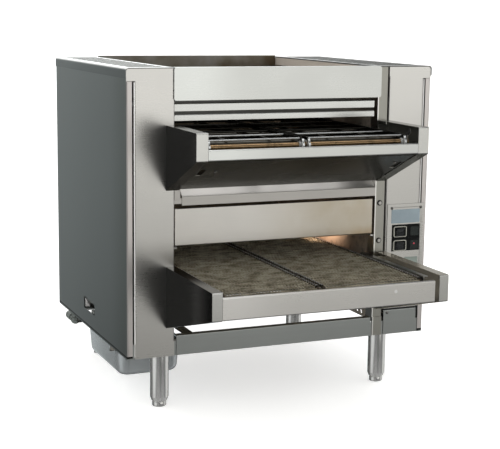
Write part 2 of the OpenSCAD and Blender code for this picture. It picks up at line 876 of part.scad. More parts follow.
module upper_front_sprockets() {
    sprockets(upper_yf, upper_zc, upper_teeth, upper_r, upper_shaft_d);
}

module upper_drive_sprockets() {
    sprockets(upper_yr, upper_zc, upper_teeth, upper_r, upper_shaft_d);
}

module lower_front_sprockets() {
    sprockets(lower_yf, lower_zc, lower_teeth, lower_r, lower_shaft_d);
}

module lower_drive_sprockets() {
    sprockets(lower_yr, lower_zc, lower_teeth, lower_r, lower_shaft_d);
}

// Side bars with bush bores, cross tubes between them that carry the wear strips, and spacers to the walls
module conveyor_frame(yf, yr, zc, r, pin_d, shaft_d, guard) {
    bush_d = shaft_d + 2 * bush_wall;
    bar_h = 2 * (r + 1);
    bar_y0 = yf - bush_d / 2 - 3;
    top = zc + bar_h / 2;
    strip_z = zc + r - pin_d / 2 - seat - strip_h;
    cross_z = strip_z - cross_d / 2 - slip;
    lane_mid = [(belt_x0 + left_x1) / 2, (right_x0 + belt_x1) / 2];
    end_y = r + 26;
    mid_y = (frame_y + yr) / 2;
    stations = [yf + end_y, frame_y, mid_y, yr - end_y];
    color(steel) in_cabinet() {
        for (x = [bar_l, bar_r]) difference() {
            union() {
                block(x, x + bar_t, bar_y0, yr + bush_d / 2 + 3, zc - bar_h / 2, top);
                if (guard && x == bar_r) {
                    block(x, x + bar_t, bar_y0, wall_y, top - 1, top + guard_h);
                    block(x, x + guard_w, bar_y0, wall_y, top + guard_h - guard_t, top + guard_h);
                }
            }
            for (y = [yf, yr])
                rod_x(x - 1, x + bar_t + 1, y, zc, bush_d + 2 * slip);
        }
        for (y = stations)
            rod_x(bar_l + bar_t, bar_r, y, cross_z, cross_d);
        for (mid = lane_mid, dx = [-strip_off, strip_off])
            block(mid + dx - strip_w / 2, mid + dx + strip_w / 2, stations[0] - 8, stations[3] + 8,
                strip_z, strip_z + strip_h);
        for (y = [frame_y + 20, mid_y, yr - end_y]) {
            rod_x(in_l + seat, bar_l, y, zc, spacer_d);
            rod_x(bar_r + bar_t, in_r - seat, y, zc, spacer_d);
        }
    }
}

module upper_conveyor_frame() {
    conveyor_frame(upper_yf, upper_yr, upper_zc, upper_r, flight_d, upper_shaft_d, false);
}

module lower_conveyor_frame() {
    conveyor_frame(lower_yf, lower_yr, lower_zc, lower_r, rod_d, lower_shaft_d, true);
}

module bush(x_bar, dir, y, z, shaft_d) {
    flange_x = dir < 0 ? x_bar - bush_flange : x_bar + bar_t;
    in_cabinet() difference() {
        union() {
            rod_x(x_bar, x_bar + bar_t, y, z, shaft_d + 2 * bush_wall);
            rod_x(flange_x, flange_x + bush_flange, y, z, shaft_d + 2 * bush_wall + 5);
        }
        rod_x(x_bar - 5, x_bar + bar_t + 5, y, z, shaft_d + 2 * run);
    }
}

module shaft_bearings() {
    color("goldenrod")
        for (s = [[upper_yf, upper_zc, upper_shaft_d], [upper_yr, upper_zc, upper_shaft_d],
            [lower_yf, lower_zc, lower_shaft_d], [lower_yr, lower_zc, lower_shaft_d]]) {
            bush(bar_l, -1, s[0], s[1], s[2]);
            bush(bar_r, 1, s[0], s[1], s[2]);
        }
}

module gear_motor(y, z, shaft_d) {
    mid_x = box_x + box_l / 2;
    end_y = y - box_half - motor_l;
    color("gray") in_cabinet() {
        difference() {
            union() {
                block(box_x, box_x + box_l, y - box_half, y + box_half, z - box_half, z + box_half);
                for (dy = [-1, 1], dz = [-1, 1])
                    rod_x(motor_x, box_x + 1, y + dy * (box_half - 9), z + dz * (box_half - 9), 12);
                rod_y(mid_x, end_y, y - box_half + 1, z, motor_d);
                rod_y(mid_x, end_y - 8, end_y + 1, z, motor_d - 16);
            }
            rod_x(box_x - 1, box_x + box_l + 1, y, z, shaft_d + 2 * run);
        }
    }
}

module upper_gear_motor() {
    gear_motor(upper_yr, upper_zc, upper_shaft_d);
}

module lower_gear_motor() {
    gear_motor(lower_yr, lower_zc, lower_shaft_d);
}

// Burners, gas line, drip tray and chute

function tube_y(i) = 90 + (i + 0.5) * (upper_yr - 130) / burner_tubes;
function head_y(i) = head_y0 + (i + 0.5) * head_pitch;

// Open shells with a crowned top and a row of radiant bars
module radiant_burners() {
    bars = 14;
    bar_w = 12;
    wall = 2;
    length = bar_r - bar_l;
    color("tan") in_cabinet() for (i = [0:heads - 1]) {
        y = head_y(i);
        difference() {
            union() {
                block(bar_l, bar_r, y - head_w / 2, y + head_w / 2, head_z - head_h, head_z);
                block(in_l + seat, bar_l + 1, y - 22, y + 22, head_z - 10, head_z);
                block(bar_r - 1, in_r - seat, y - 22, y + 22, head_z - 10, head_z);
                along_x(bar_l + 60, length - 120) polygon([
                    [y - 30, head_z - 1], [y + 30, head_z - 1], [y + 16, head_z + 16], [y - 16, head_z + 16]
                ]);
            }
            block(bar_l + wall, bar_r - wall, y - head_w / 2 + wall, y + head_w / 2 - wall,
                head_z - head_h - 1, head_z - wall);
            rod_x(bar_l - 1, bar_l + wall + 1, y, head_z - head_h / 2, branch_d + 2 * slip);
        }
        for (j = [0:bars - 1])
            translate([bar_l + (j + 0.5) * length / bars, y, head_z - head_h])
                block(-bar_w / 2, bar_w / 2, -(head_w - wall) / 2, (head_w - wall) / 2, 0, 4);
    }
}

module tube_burners() {
    wall = 2;
    color("gray") in_cabinet() for (i = [0:burner_tubes - 1]) difference() {
        union() {
            rod_x(in_l + seat, bar_r, tube_y(i), tube_z, tube_d);
            rod_x(bar_r - 1, in_r - seat, tube_y(i), tube_z, 12);
        }
        rod_x(in_l - 1, in_l + 24, tube_y(i), tube_z, branch_d + 2 * slip);
        rod_x(in_l + seat + wall, bar_r - 2 * wall, tube_y(i), tube_z, tube_d - 2 * wall);
        block(bar_l + 20, bar_r - 20, tube_y(i) - 1.2, tube_y(i) + 1.2,
            tube_z + tube_d / 2 - 4, tube_z + tube_d);
    }
}

module gas_manifold() {
    head_pipe_z = head_z - head_h / 2;
    color("goldenrod") in_cabinet() difference() {
        union() {
            for (z = [head_pipe_z, tube_z]) {
                rod_y(burner_pipe_x, 100, riser_y, z, pipe_d);
                rod_x(gas_x, burner_pipe_x, riser_y, z, pipe_d);
            }
            for (i = [0:heads - 1])
                rod_x(burner_pipe_x, in_l + belt_margin, head_y(i), head_pipe_z, branch_d);
            for (i = [0:burner_tubes - 1])
                rod_x(burner_pipe_x, in_l + 20, tube_y(i), tube_z, branch_d);
            rod_z(gas_x, riser_y, gas_z, head_pipe_z, pipe_d);
            block(gas_x - 22, gas_x + 40, riser_y - 34, riser_y + 34, 250, 320);
            rod_y(gas_x, riser_y, gas_end, gas_z, pipe_d);
            rod_y(gas_x, gas_end - inlet_l, gas_end, gas_z, gas_d);
            translate([gas_x, riser_y, gas_z]) sphere(d = pipe_d + 8);
        }
        rod_y(gas_x, riser_y + 20, body_d, gas_z, pipe_d - 6);
    }
}

// Open tray with a drain beside it that leads down to the pan
module drip_tray() {
    x0 = in_l + 2;
    x1 = in_r - 2;
    y0 = rail_y + rail_slope + 4;
    spout = [spout_y - spout_w / 2, spout_y + spout_w / 2];
    spout_h = 12;
    color(steel) in_cabinet() {
        difference() {
            block(x0, x1, y0, tray_y1, tray_z, tray_z + tray_h);
            block(x0 + sheet, x1 - sheet, y0 + sheet, tray_y1 - sheet, tray_z + sheet, tray_z + tray_h + 1);
            block(x0 - 1, x0 + sheet + 1, spout[0] + sheet, spout[1] - sheet,
                tray_z + sheet, tray_z + spout_h - sheet);
        }
        difference() {
            union() {
                block(drain_x, x0, spout[0], spout[1], tray_z, tray_z + spout_h);
                rod_z(drain_x, spout_y, -6, tray_z + spout_h, drain_d);
            }
            block(drain_x, x0 + 1, spout[0] + sheet, spout[1] - sheet,
                tray_z + sheet, tray_z + spout_h - sheet);
            rod_z(drain_x, spout_y, -7, tray_z + spout_h - sheet, drain_d - 2 * sheet);
        }
    }
}

module discharge_chute() {
    x0 = in_l + seat;
    back = body_d - sheet - seat;
    low = lower_belt_z + chute_clear;
    color(steel) in_cabinet() along_x(x0, in_r - seat - x0) bent([
        [back, upper_zc + chute_rise], [back, upper_zc - chute_rise / 2],
        [back - chute_reach * 0.22, low + chute_curve], [back - chute_reach * 0.48, low + chute_curve * 0.38],
        [back - chute_reach * 0.77, low + chute_curve * 0.11], [back - chute_reach, low]
    ], -sheet);
}

// Control panel

module switch_cut(x, z, y0, y1, margin) {
    block(x - rocker_w / 2 - margin, x + rocker_w / 2 + margin, y0, y1, z - swing - margin, z + swing + margin);
}

module control_plate() {
    color(bright) in_cabinet() difference() {
        block(plate_x0, plate_x0 + plate_w, -plate_t, 0, plate_top - plate_h, plate_top);
        for (z = switch_z)
            switch_cut(switch_x, z, -plate_t - 1, 1, switch_gap + switch_wall + 0.5);
        for (x = screw_x, z = screw_z)
            rod_y(x, -plate_t - 1, 1, z, screw_d + 2 * slip);
    }
}

module control_fascia() {
    color("darkslategray") in_cabinet() difference() {
        union() {
            block(fascia_x0, fascia_x0 + fascia_w, fascia_y, -plate_t, fascia_z0, fascia_z0 + fascia_h);
            for (z = switch_z) {
                block(switch_x - bezel_w / 2, switch_x + bezel_w / 2, bezel_y, fascia_y + 0.1,
                    z - bezel_h / 2, z + bezel_h / 2);
                switch_cut(switch_x, z, fascia_y, switch_depth, switch_gap + switch_wall);
            }
        }
        for (z = switch_z) {
            switch_cut(switch_x, z, bezel_y - 1, switch_depth - switch_wall, switch_gap);
            rod_x(switch_x - rocker_w / 2 - 1.5, switch_x + rocker_w / 2 + 1.5, pivot_y, z, pivot_d + 2 * run);
        }
    }
}

// Rocker pressed at its lower half, on pins in the switch body
module rocker(z, tilt) {
    color("black") in_cabinet() translate([switch_x, pivot_y, z]) rotate([tilt, 0, 0]) {
        along_x(-rocker_w / 2, rocker_w) polygon([
            [-rocker_proud + 0.6, rocker_h / 2], [-rocker_proud + 2.6, 0], [-rocker_proud + 0.6, -rocker_h / 2],
            [1, -rocker_h / 2 + 1], [4, 0], [1, rocker_h / 2 - 1]
        ]);
        rod_x(-rocker_w / 2 - 1.2, rocker_w / 2 + 1.2, 0, 0, pivot_d);
    }
}

module upper_rocker() {
    rocker(switch_z[1], rocker_tilt);
}

module lower_rocker() {
    rocker(switch_z[0], rocker_tilt);
}

module display_windows() {
    color("black") in_cabinet() for (z = switch_z)
        block(window_x, window_x + window_w, fascia_y - 1, fascia_y, z - window_w / 2, z + window_w / 2);
}

// Legs, feet, pan and small parts

module legs() {
    taper = 10;
    low = -leg_h + pad_h + seat;
    color(steel) in_cabinet()
        for (x = [-half_w + leg_in_x, half_w - leg_in_x], y = [leg_in_y, body_d - leg_in_y])
            translate([x, y, 0]) difference() {
                union() {
                    rotate_extrude() polygon([
                        [0, low], [leg_d / 2 - 3, low], [leg_d / 2, low + taper],
                        [leg_d / 2, -plate_leg_t / 2], [0, -plate_leg_t / 2]
                    ]);
                    block(-plate_leg / 2, plate_leg / 2, -plate_leg / 2, plate_leg / 2, -plate_leg_t, 0);
                    rod_z(0, 0, -1, base_t + 12, stud_d);
                }
                rod_z(0, 0, low - 1, low + stem_l + 4, stem_d + 2 * run);
            }
}

module foot(x, y) {
    color("lightgray") in_cabinet() translate([x, y, -leg_h]) rotate_extrude() polygon([
        [0, 0], [pad_d / 2 - 2, 0], [pad_d / 2, 2], [pad_d / 2, pad_h - 4], [pad_d / 2 - 2, pad_h],
        [stem_d / 2, pad_h], [stem_d / 2, pad_h + stem_l - 2],
        [stem_d / 2 - 2, pad_h + stem_l], [0, pad_h + stem_l]
    ]);
}

module foot_front_left() {
    foot(-half_w + leg_in_x, leg_in_y);
}

module foot_front_right() {
    foot(half_w - leg_in_x, leg_in_y);
}

module foot_rear_left() {
    foot(-half_w + leg_in_x, body_d - leg_in_y);
}

module foot_rear_right() {
    foot(half_w - leg_in_x, body_d - leg_in_y);
}

// Pan corner: a disc with a rounded lower edge
module pan_corner(r, fillet) {
    rotate_extrude($fn = 32) {
        intersection() {
            translate([r - fillet, fillet]) circle(r = fillet, $fn = 32);
            square([r, fillet]);
        }
        square([r - fillet, fillet]);
    }
}

module pan_form(grow, h, lift) {
    draft = 5;
    r = pan_r + grow;
    hull() for (x = pan_corner_x, y = pan_corner_y)
        translate([x, y, pan_top - pan_h + lift]) {
            pan_corner(r - draft, pan_fillet + grow);
            translate([0, 0, h - lift - 1]) cylinder(r = r, h = 1, $fn = 32);
        }
}

module grease_pan() {
    rim_r = pan_r + pan_rim;
    color("lightsteelblue") in_cabinet() difference() {
        union() {
            pan_form(0, pan_h, 0);
            hull() for (x = pan_corner_x, y = pan_corner_y)
                translate([x, y, pan_top - pan_t]) cylinder(r = rim_r, h = pan_t, $fn = 32);
        }
        pan_form(-pan_t, pan_h + 1, pan_t);
    }
}

module pan_runners() {
    x0 = -half_w + sheet + 1;
    ledge = pan_top - pan_t - seat;
    front = pan_y0 - pan_rim - seat;
    rear = pan_y0 + pan_l + pan_rim + seat;
    color(steel) in_cabinet() {
        along_x(x0, spine_x + spine_w - x0) bent([
            [front - runner_flange, 0], [front, 0], [front, ledge], [front + runner_ledge, ledge]
        ], -runner_t, seat / 2);
        along_x(x0, spine_x + spine_w - x0) bent([
            [rear + runner_flange, 0], [rear, 0], [rear, ledge], [rear - runner_ledge, ledge]
        ], runner_t, seat / 2);
    }
}

module cable_gland() {
    color("dimgray") in_cabinet() translate([half_w - base_angle / 2, gland_y, 0]) difference() {
        union() {
            cylinder(h = base_t + 6, d = gland_d);
            translate([0, 0, -8]) cylinder(h = 8, d = gland_d + 8, $fn = 6);
            translate([0, 0, -22]) cylinder(h = 14.5, d1 = gland_d - 6, d2 = gland_d + 2);
        }
        translate([0, 0, -30]) cylinder(h = 60, d = 9);
    }
}

module fasteners() {
    color("gainsboro") in_cabinet() {
        for (z = post_bolt_z) {
            translate([bolt_x, post_y, z]) rotate([90, 0, 0])
                cylinder(h = 4, d = bolt_head / cos(30), $fn = 6);
            rod_y(bolt_x, post_y - 1, post_y + post_wall + 6, z, bolt_d);
        }
        for (x = screw_x, z = screw_z) {
            translate([x, -plate_t, z]) rotate([90, 0, 0]) cylinder(h = 2.4, d1 = 8, d2 = 5.5);
            rod_y(x, -plate_t - 1, 0, z, screw_d);
        }
    }
}

base_frame();
left_side_panel();
right_side_panel();
rear_panel();
left_column_cover();
right_column_cover();
left_top_cover();
right_top_cover();
front_hood();
louvre_strips();
drive_side_post();
opening_rail();
flame_shield();
lower_front_panel();
service_box_cover();
left_firebox_wall();
right_firebox_wall();
feeder_left_wing();
feeder_right_wing();
feeder_front_rail();
feeder_underside();
upper_conveyor_frame();
upper_left_flights();
upper_right_flights();
upper_front_shaft();
upper_front_sprockets();
upper_drive_shaft();
upper_drive_sprockets();
discharge_left_wing();
discharge_right_wing();
discharge_front_rail();
lower_conveyor_frame();
lower_left_belt();
lower_right_belt();
lower_front_shaft();
lower_front_sprockets();
lower_drive_shaft();
lower_drive_sprockets();
shaft_bearings();
upper_gear_motor();
lower_gear_motor();
radiant_burners();
tube_burners();
gas_manifold();
drip_tray();
discharge_chute();
control_plate();
control_fascia();
upper_rocker();
lower_rocker();
display_windows();
legs();
foot_front_left();
foot_front_right();
foot_rear_left();
foot_rear_right();
grease_pan();
pan_runners();
cable_gland();
fasteners();
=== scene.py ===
import math

import bmesh
import bpy
import numpy as np
from mathutils import Matrix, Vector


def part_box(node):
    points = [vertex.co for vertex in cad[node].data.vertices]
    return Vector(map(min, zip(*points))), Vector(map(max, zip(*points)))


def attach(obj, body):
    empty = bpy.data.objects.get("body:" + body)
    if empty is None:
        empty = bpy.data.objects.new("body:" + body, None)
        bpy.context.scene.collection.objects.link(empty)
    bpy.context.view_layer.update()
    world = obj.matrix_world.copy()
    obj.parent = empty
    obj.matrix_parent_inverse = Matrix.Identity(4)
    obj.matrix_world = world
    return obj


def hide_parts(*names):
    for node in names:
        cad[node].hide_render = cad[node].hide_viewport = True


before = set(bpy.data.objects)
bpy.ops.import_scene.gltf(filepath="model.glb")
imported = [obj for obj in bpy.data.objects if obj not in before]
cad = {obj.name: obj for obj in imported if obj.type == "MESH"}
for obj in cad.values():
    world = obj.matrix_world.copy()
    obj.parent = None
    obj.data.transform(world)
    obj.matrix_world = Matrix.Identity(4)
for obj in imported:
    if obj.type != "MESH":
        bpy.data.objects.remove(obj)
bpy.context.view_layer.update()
print("frame loaded:", len(cad), "nodes")

# sizes below are in millimetres from the cabinet:
# x from its middle, y from the column fronts, z from its lower edge
cabinet = dict(shift=np.array([0.0, -186.5, 156.0]), scale=0.001)


def toRow(points):
    # cabinet millimetres to metres in the row's frame
    return (np.asarray(points, float) + cabinet["shift"]) * cabinet["scale"]


# camera, solved from the cabinet's straight edges
photoView = dict(place=(-1.41839, -3.26977, 1.07598), azimuth=-23.1413, elevation=9.7068, roll=0.7253,
                 lens=90.197, sensor=36)


def setCamera(v):
    # looks along azimuth and elevation, then rolls about that line
    a, e, r = (math.radians(v[k]) for k in ("azimuth", "elevation", "roll"))
    back = np.array([math.sin(a) * math.cos(e), -math.cos(a) * math.cos(e), math.sin(e)])
    right = np.cross(-back, (0, 0, 1))
    right /= np.linalg.norm(right)
    up = np.cross(right, -back)
    turned = [math.cos(r) * right + math.sin(r) * up, -math.sin(r) * right + math.cos(r) * up, back]
    data = bpy.data.cameras.new("photoCamera")
    data.lens = v["lens"]
    data.sensor_width = v["sensor"]
    camera = bpy.data.objects.new("photoCamera", data)
    bpy.context.scene.collection.objects.link(camera)
    pose = np.eye(4)
    pose[:3, :3] = np.array(turned).T
    pose[:3, 3] = v["place"]
    camera.matrix_world = Matrix(pose.tolist())
    bpy.context.scene.camera = camera


setCamera(photoView)
print("camera set")


# mesh tools: a part is (points, list of face arrays), in cabinet millimetres
def gridFaces(rows, cols, closeRows=False, closeCols=False):
    # quads between neighbouring rows and columns of a grid of points
    i = np.arange(rows if closeRows else rows - 1)[:, None]
    j = np.arange(cols if closeCols else cols - 1)[None, :]
    a, b = i * cols, (i + 1) % rows * cols
    k, m = j, (j + 1) % cols
    return np.stack([a + k, b + k, b + m, a + m], -1).reshape(-1, 4)


def joinParts(parts):
    # one part from several, with the face numbers moved on
    points, faces, base = [], [], 0
    for p, sets in parts:
        points.append(p)
        faces += [np.asarray(f) + base for f in sets]
        base += len(p)
    return np.concatenate(points), faces


def roundEdges(ob, width, segments=2, limit=40):
    # a live bevel, in millimetres, on edges sharper than the limit
    bevel = ob.modifiers.new("edges", "BEVEL")
    bevel.width = width * cabinet["scale"]
    bevel.segments = segments
    bevel.limit_method = "ANGLE"
    bevel.angle_limit = math.radians(limit)


def piece(name, parts, material, slot, body="cabinet", replaces=(), smooth=35, rounding=0.0,
          outward=False):
    # one object from mesh parts, riding on a body; outward turns all faces to the outside
    points, faces = joinParts(parts)
    loops = np.concatenate([f.ravel() for f in faces])
    sizes = np.concatenate([np.full(len(f), f.shape[1]) for f in faces])
    mesh = bpy.data.meshes.new(name)
    mesh.vertices.add(len(points))
    mesh.vertices.foreach_set("co", toRow(points).astype(np.float32).ravel())
    mesh.loops.add(len(loops))
    mesh.loops.foreach_set("vertex_index", loops.astype(np.int32))
    mesh.polygons.add(len(sizes))
    mesh.polygons.foreach_set("loop_start", np.concatenate(([0], np.cumsum(sizes)[:-1])).astype(np.int32))
    mesh.update(calc_edges=True)
    mesh.validate()
    if outward:
        work = bmesh.new()
        work.from_mesh(mesh)
        bmesh.ops.recalc_face_normals(work, faces=work.faces)
        work.to_mesh(mesh)
        work.free()
    mesh.polygons.foreach_set("use_smooth", np.ones(len(mesh.polygons), bool))
    mesh.set_sharp_from_angle(angle=math.radians(smooth))
    mesh.materials.append(material)
    ob = bpy.data.objects.new(name, mesh)
    bpy.context.scene.collection.objects.link(ob)
    if rounding:
        roundEdges(ob, rounding)
    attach(ob, body)
    if replaces:
        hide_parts(*replaces)


def tubes(paths, radius, sides, phase=0.5):
    # round wires: paths is (count, steps, 3), each ring stands square to its path
    paths = np.asarray(paths, float)
    count, steps, _ = paths.shape
    along = np.gradient(paths, axis=1)
    along /= np.linalg.norm(along, axis=-1, keepdims=True)
    guide = np.where(np.abs(along[..., 2:3]) > 0.9, (0.0, 1.0, 0.0), (0.0, 0.0, 1.0))
    side = np.cross(along, guide)
    side /= np.linalg.norm(side, axis=-1, keepdims=True)
    top = np.cross(side, along)
    a = (np.arange(sides) + phase) * 2 * np.pi / sides
    ring = radius * (np.cos(a)[:, None] * side[:, :, None, :] + np.sin(a)[:, None] * top[:, :, None, :])
    points = (paths[:, :, None, :] + ring).reshape(-1, 3)
    one = gridFaces(steps, sides, closeCols=True)[:, ::-1]
    starts = np.arange(count)[:, None] * steps * sides
    body = (one[None] + starts[..., None]).reshape(-1, 4)
    ends = np.arange(sides)[None]
    return points, [body, ends + starts, (ends + (steps - 1) * sides)[:, ::-1] + starts]


def rodsAlongX(x0, x1, yz, radius, sides):
    # straight round bars between two x places, one for each (y, z)
    yz = np.asarray(yz, float).reshape(-1, 2)
    path = np.empty((len(yz), 2, 3))
    path[:, 0, 0], path[:, 1, 0] = x0, x1
    path[:, :, 1:] = yz[:, None, :]
    return tubes(path, radius, sides)


def lathe(shape, centre, axis):
    # (radius, height) profile turned about an axis through centre: 0 is x, 1 is y, 2 is z
    profile, sides = np.asarray(shape["profile"], float), shape["sides"]
    a = np.arange(sides) * 2 * np.pi / sides
    flat = [profile[:, :1] * np.cos(a), profile[:, :1] * np.sin(a), np.repeat(profile[:, 1:], sides, 1)]
    points = np.empty((len(profile), sides, 3))
    for n in range(3):
        points[..., (axis + 1 + n) % 3] = flat[n]
    faces = gridFaces(len(profile), sides, closeCols=True)[:, ::-1]
    return points.reshape(-1, 3) + np.asarray(centre, float), [faces]


def roundedLoop(x0, x1, y0, y1, r, steps=7):
    # a rectangle with quarter circles at its corners, counterclockwise
    a = np.linspace(0, np.pi / 2, steps)
    quarter = r * np.stack([np.cos(a), np.sin(a)], -1)
    spin = [quarter, quarter[::-1] * (-1, 1), -quarter, quarter[::-1] * (1, -1)]
    corners = [(x1 - r, y1 - r), (x0 + r, y1 - r), (x0 + r, y0 + r), (x1 - r, y0 + r)]
    return np.concatenate([np.add(q, c) for q, c in zip(spin, corners)])


def loft(loops, ring=False):
    # closed loops of points joined in a row: a ring closes on itself, anything else gets end faces
    loops = np.asarray(loops, float)
    rows, cols, _ = loops.shape
    faces = [gridFaces(rows, cols, closeRows=ring, closeCols=True)]
    if not ring:
        ends = np.arange(cols)[None]
        faces += [ends[:, ::-1], ends + (rows - 1) * cols]
    return loops.reshape(-1, 3), faces


def facing(cx, cz, sections):
    # rounded rectangles that face the front, one for each (width, height, corner radius, y)
    loops = []
    for w, h, r, y in sections:
        flat = roundedLoop(cx - w / 2, cx + w / 2, cz - h / 2, cz + h / 2, r)
        loops.append(np.stack([flat[:, 0], np.full(len(flat), y), flat[:, 1]], -1))
    return loops


def extruded(outline, axis, start, end):
    # a closed outline carried straight along an axis: its two numbers are the other two axes in order
    outline = np.asarray(outline, float)
    loops = np.empty((2, len(outline), 3))
    others = [n for n in range(3) if n != axis]
    loops[:, :, others] = outline
    loops[0, :, axis], loops[1, :, axis] = start, end
    return loft(loops)


def slab(x0, x1, y0, y1, z0, z1):
    # a box: its rectangle in plan carried upwards
    return extruded([(x0, y0), (x1, y0), (x1, y1), (x0, y1)], 2, z0, z1)


# chains and belts run round two axes:
# places along the loop start above the front axis and go to the rear first
upperLoop = dict(front=-185.0, height=581.407, radius=16.5934, run=760.670, links=128)
lowerLoop = dict(front=-292.0, height=208.461, radius=22.5390, run=926.141, links=157)
chainPitch = 12.7
lanes = dict(left=(-302.0, -39.0), right=(-27.0, 259.0), chainWidth=5.0)
# places across a chain from its left side: plates from and to, then pins or rollers
outerLink = dict(plates=[(0, 1.1), (3.9, 5.0)], rod=(0.02, 4.98), radius=1.7, sides=6, tall=4.9, waist=3.0)
innerLink = dict(plates=[(1.15, 1.8), (3.2, 3.85)], rod=(1.85, 3.15), radius=4.0, sides=8,
                 tall=4.5, waist=2.8)


def onLoop(s, h, loop):
    # (y, z) of the point at length s along the loop and h outside its pitch line
    run, r = loop["run"], loop["radius"]
    arc = math.pi * r
    s = np.mod(s, 2 * (run + arc))
    rear = (s - run) / r
    front = (s - 2 * run - arc) / r
    where = [s < run, s < run + arc, s < 2 * run + arc]
    y = np.select(where, [s, run + (r + h) * np.sin(rear), 2 * run + arc - s], -(r + h) * np.sin(front))
    z = np.select(where, [r + h, (r + h) * np.cos(rear), -r - h], -(r + h) * np.cos(front))
    return y + loop["front"], z + loop["height"]


def linkPlates(loop, picks, x0, x1, tall, waist, steps=5):
    # figure-of-eight plates from pin to pin, as thick as x0 to x1
    a = np.linspace(0, np.pi, steps)
    half = np.stack([chainPitch + tall * np.sin(a), tall * np.cos(a)], -1)
    middle = chainPitch / 2
    outline = np.concatenate([half, [[middle, -waist]], [chainPitch, 0] - half, [[middle, waist]]])
    first = np.stack(onLoop(picks * chainPitch, 0 * picks, loop), -1)
    second = np.stack(onLoop((picks + 1) * chainPitch, 0 * picks, loop), -1)
    along = (second - first) / np.linalg.norm(second - first, axis=-1, keepdims=True)
    across = np.stack([-along[:, 1], along[:, 0]], -1)
    yz = first[:, None] + outline[None, :, :1] * along[:, None] + outline[None, :, 1:] * across[:, None]
    n = len(outline)
    points = np.empty((len(picks), 2, n, 3))
    points[:, 0, :, 0], points[:, 1, :, 0] = x0, x1
    points[..., 1:] = yz[:, None]
    starts = (np.arange(len(picks)) * 2 * n)[:, None]
    rim = (gridFaces(2, n, closeCols=True)[None] + starts[..., None]).reshape(-1, 4)
    face = np.arange(n)[None]
    return points.reshape(-1, 3), [rim[:, ::-1], face[:, ::-1] + starts, face + n + starts]


def chainLinks(loop, x0, picks, link, odd):
    # two plates for every second link, and a pin or roller at every joint
    chosen = picks[picks % 2 == odd].astype(float)
    joints = np.stack(onLoop(picks * chainPitch, 0.0 * picks, loop), -1)
    tall, waist = link["tall"], link["waist"]
    parts = [linkPlates(loop, chosen, x0 + a, x0 + b, tall, waist) for a, b in link["plates"]]
    start, end = link["rod"]
    return parts + [rodsAlongX(x0 + start, x0 + end, joints, link["radius"], link["sides"])]


def outerLinks(loop, x0, picks):
    # the even links, with pins
    return chainLinks(loop, x0, picks, outerLink, 0)


def innerLinks(loop, x0, picks):
    # the odd links, with rollers
    return chainLinks(loop, x0, picks, innerLink, 1)


# woven wire: width of a turn, wire radius, points along a turn and round the wire,
# and the share of the wire's radius by which a turn reaches past its rods
weave = dict(turn=8.8, wire=0.75, steps=6, sides=4, past=0.6)


def weaveParts(loop, x0, x1, picks, rod):
    # flattened spirals that hold each pair of neighbouring cross rods, left-handed and right-handed by turns
    wire, steps = weave["wire"], weave["steps"]
    turns = int((x1 - x0) / weave["turn"])
    t = np.arange(turns * steps + 1) / steps
    reach = chainPitch / 2 + rod + wire * weave["past"]
    rise = rod + wire
    s = (picks[:, None] + 0.5) * chainPitch + reach * np.cos(2 * np.pi * t)[None]
    h = np.repeat(rise * np.sin(2 * np.pi * t)[None], len(picks), 0)
    hand = np.where(picks % 2 == 0, 1.0, -1.0)[:, None]
    x = (x0 + x1) / 2 + hand * (t[None] - turns / 2) * (x1 - x0 - 2 * wire) / turns
    y, z = onLoop(s, h, loop)
    return tubes(np.stack([x, y, z], -1), wire, weave["sides"])


# materials
def shaderOf(name, base, metallic, rough, **sockets):
    # a material of one principled shader
    mat = bpy.data.materials.new(name)
    mat.use_nodes = True
    tree = mat.node_tree
    tree.nodes.clear()
    out = tree.nodes.new("ShaderNodeOutputMaterial")
    bsdf = tree.nodes.new("ShaderNodeBsdfPrincipled")
    tree.links.new(bsdf.outputs[0], out.inputs[0])
    bsdf.inputs["Base Color"].default_value = (*base, 1)
    bsdf.inputs["Metallic"].default_value = metallic
    bsdf.inputs["Roughness"].default_value = rough
    for socket, value in sockets.items():
        bsdf.inputs[socket.replace("_", " ")].default_value = value
    return mat, tree, bsdf


def noise(tree, scale, stretch=(1, 1, 1), detail=3.0, rough=0.5):
    # noise on Object coordinates, stretched by axis
    coords = tree.nodes.new("ShaderNodeTexCoord")
    mapping = tree.nodes.new("ShaderNodeMapping")
    mapping.inputs["Scale"].default_value = stretch
    tex = tree.nodes.new("ShaderNodeTexNoise")
    tex.inputs["Scale"].default_value = scale
    tex.inputs["Detail"].default_value = detail
    tex.inputs["Roughness"].default_value = rough
    tree.links.new(coords.outputs["Object"], mapping.inputs["Vector"])
    tree.links.new(mapping.outputs[0], tex.inputs["Vector"])
    return tex.outputs["Fac"]


def ranged(tree, value, low, high, fromLow=0.0, fromHigh=1.0, smooth=False):
    # a value carried from one range to another
    node = tree.nodes.new("ShaderNodeMapRange")
    node.interpolation_type = "SMOOTHSTEP" if smooth else "LINEAR"
    for socket, number in zip(("From Min", "From Max", "To Min", "To Max"), (fromLow, fromHigh, low, high)):
        node.inputs[socket].default_value = number
    tree.links.new(value, node.inputs["Value"])
    return node.outputs["Result"]


def maths(tree, kind, a, b):
    node = tree.nodes.new("ShaderNodeMath")
    node.operation = kind
    for socket, value in zip(node.inputs, (a, b)):
        if isinstance(value, (int, float)):
            socket.default_value = value
        else:
            tree.links.new(value, socket)
    return node.outputs[0]


def mixed(tree, amount, a, b, how="MIX"):
    # two colours mixed by an amount
    node = tree.nodes.new("ShaderNodeMix")
    node.data_type = "RGBA"
    node.blend_type = how
    for socket, value in ((node.inputs[0], amount), (node.inputs[6], a), (node.inputs[7], b)):
        if isinstance(value, (int, float)):
            socket.default_value = value
        elif isinstance(value, tuple):
            socket.default_value = (*value, 1)
        else:
            tree.links.new(value, socket)
    return node.outputs[2]


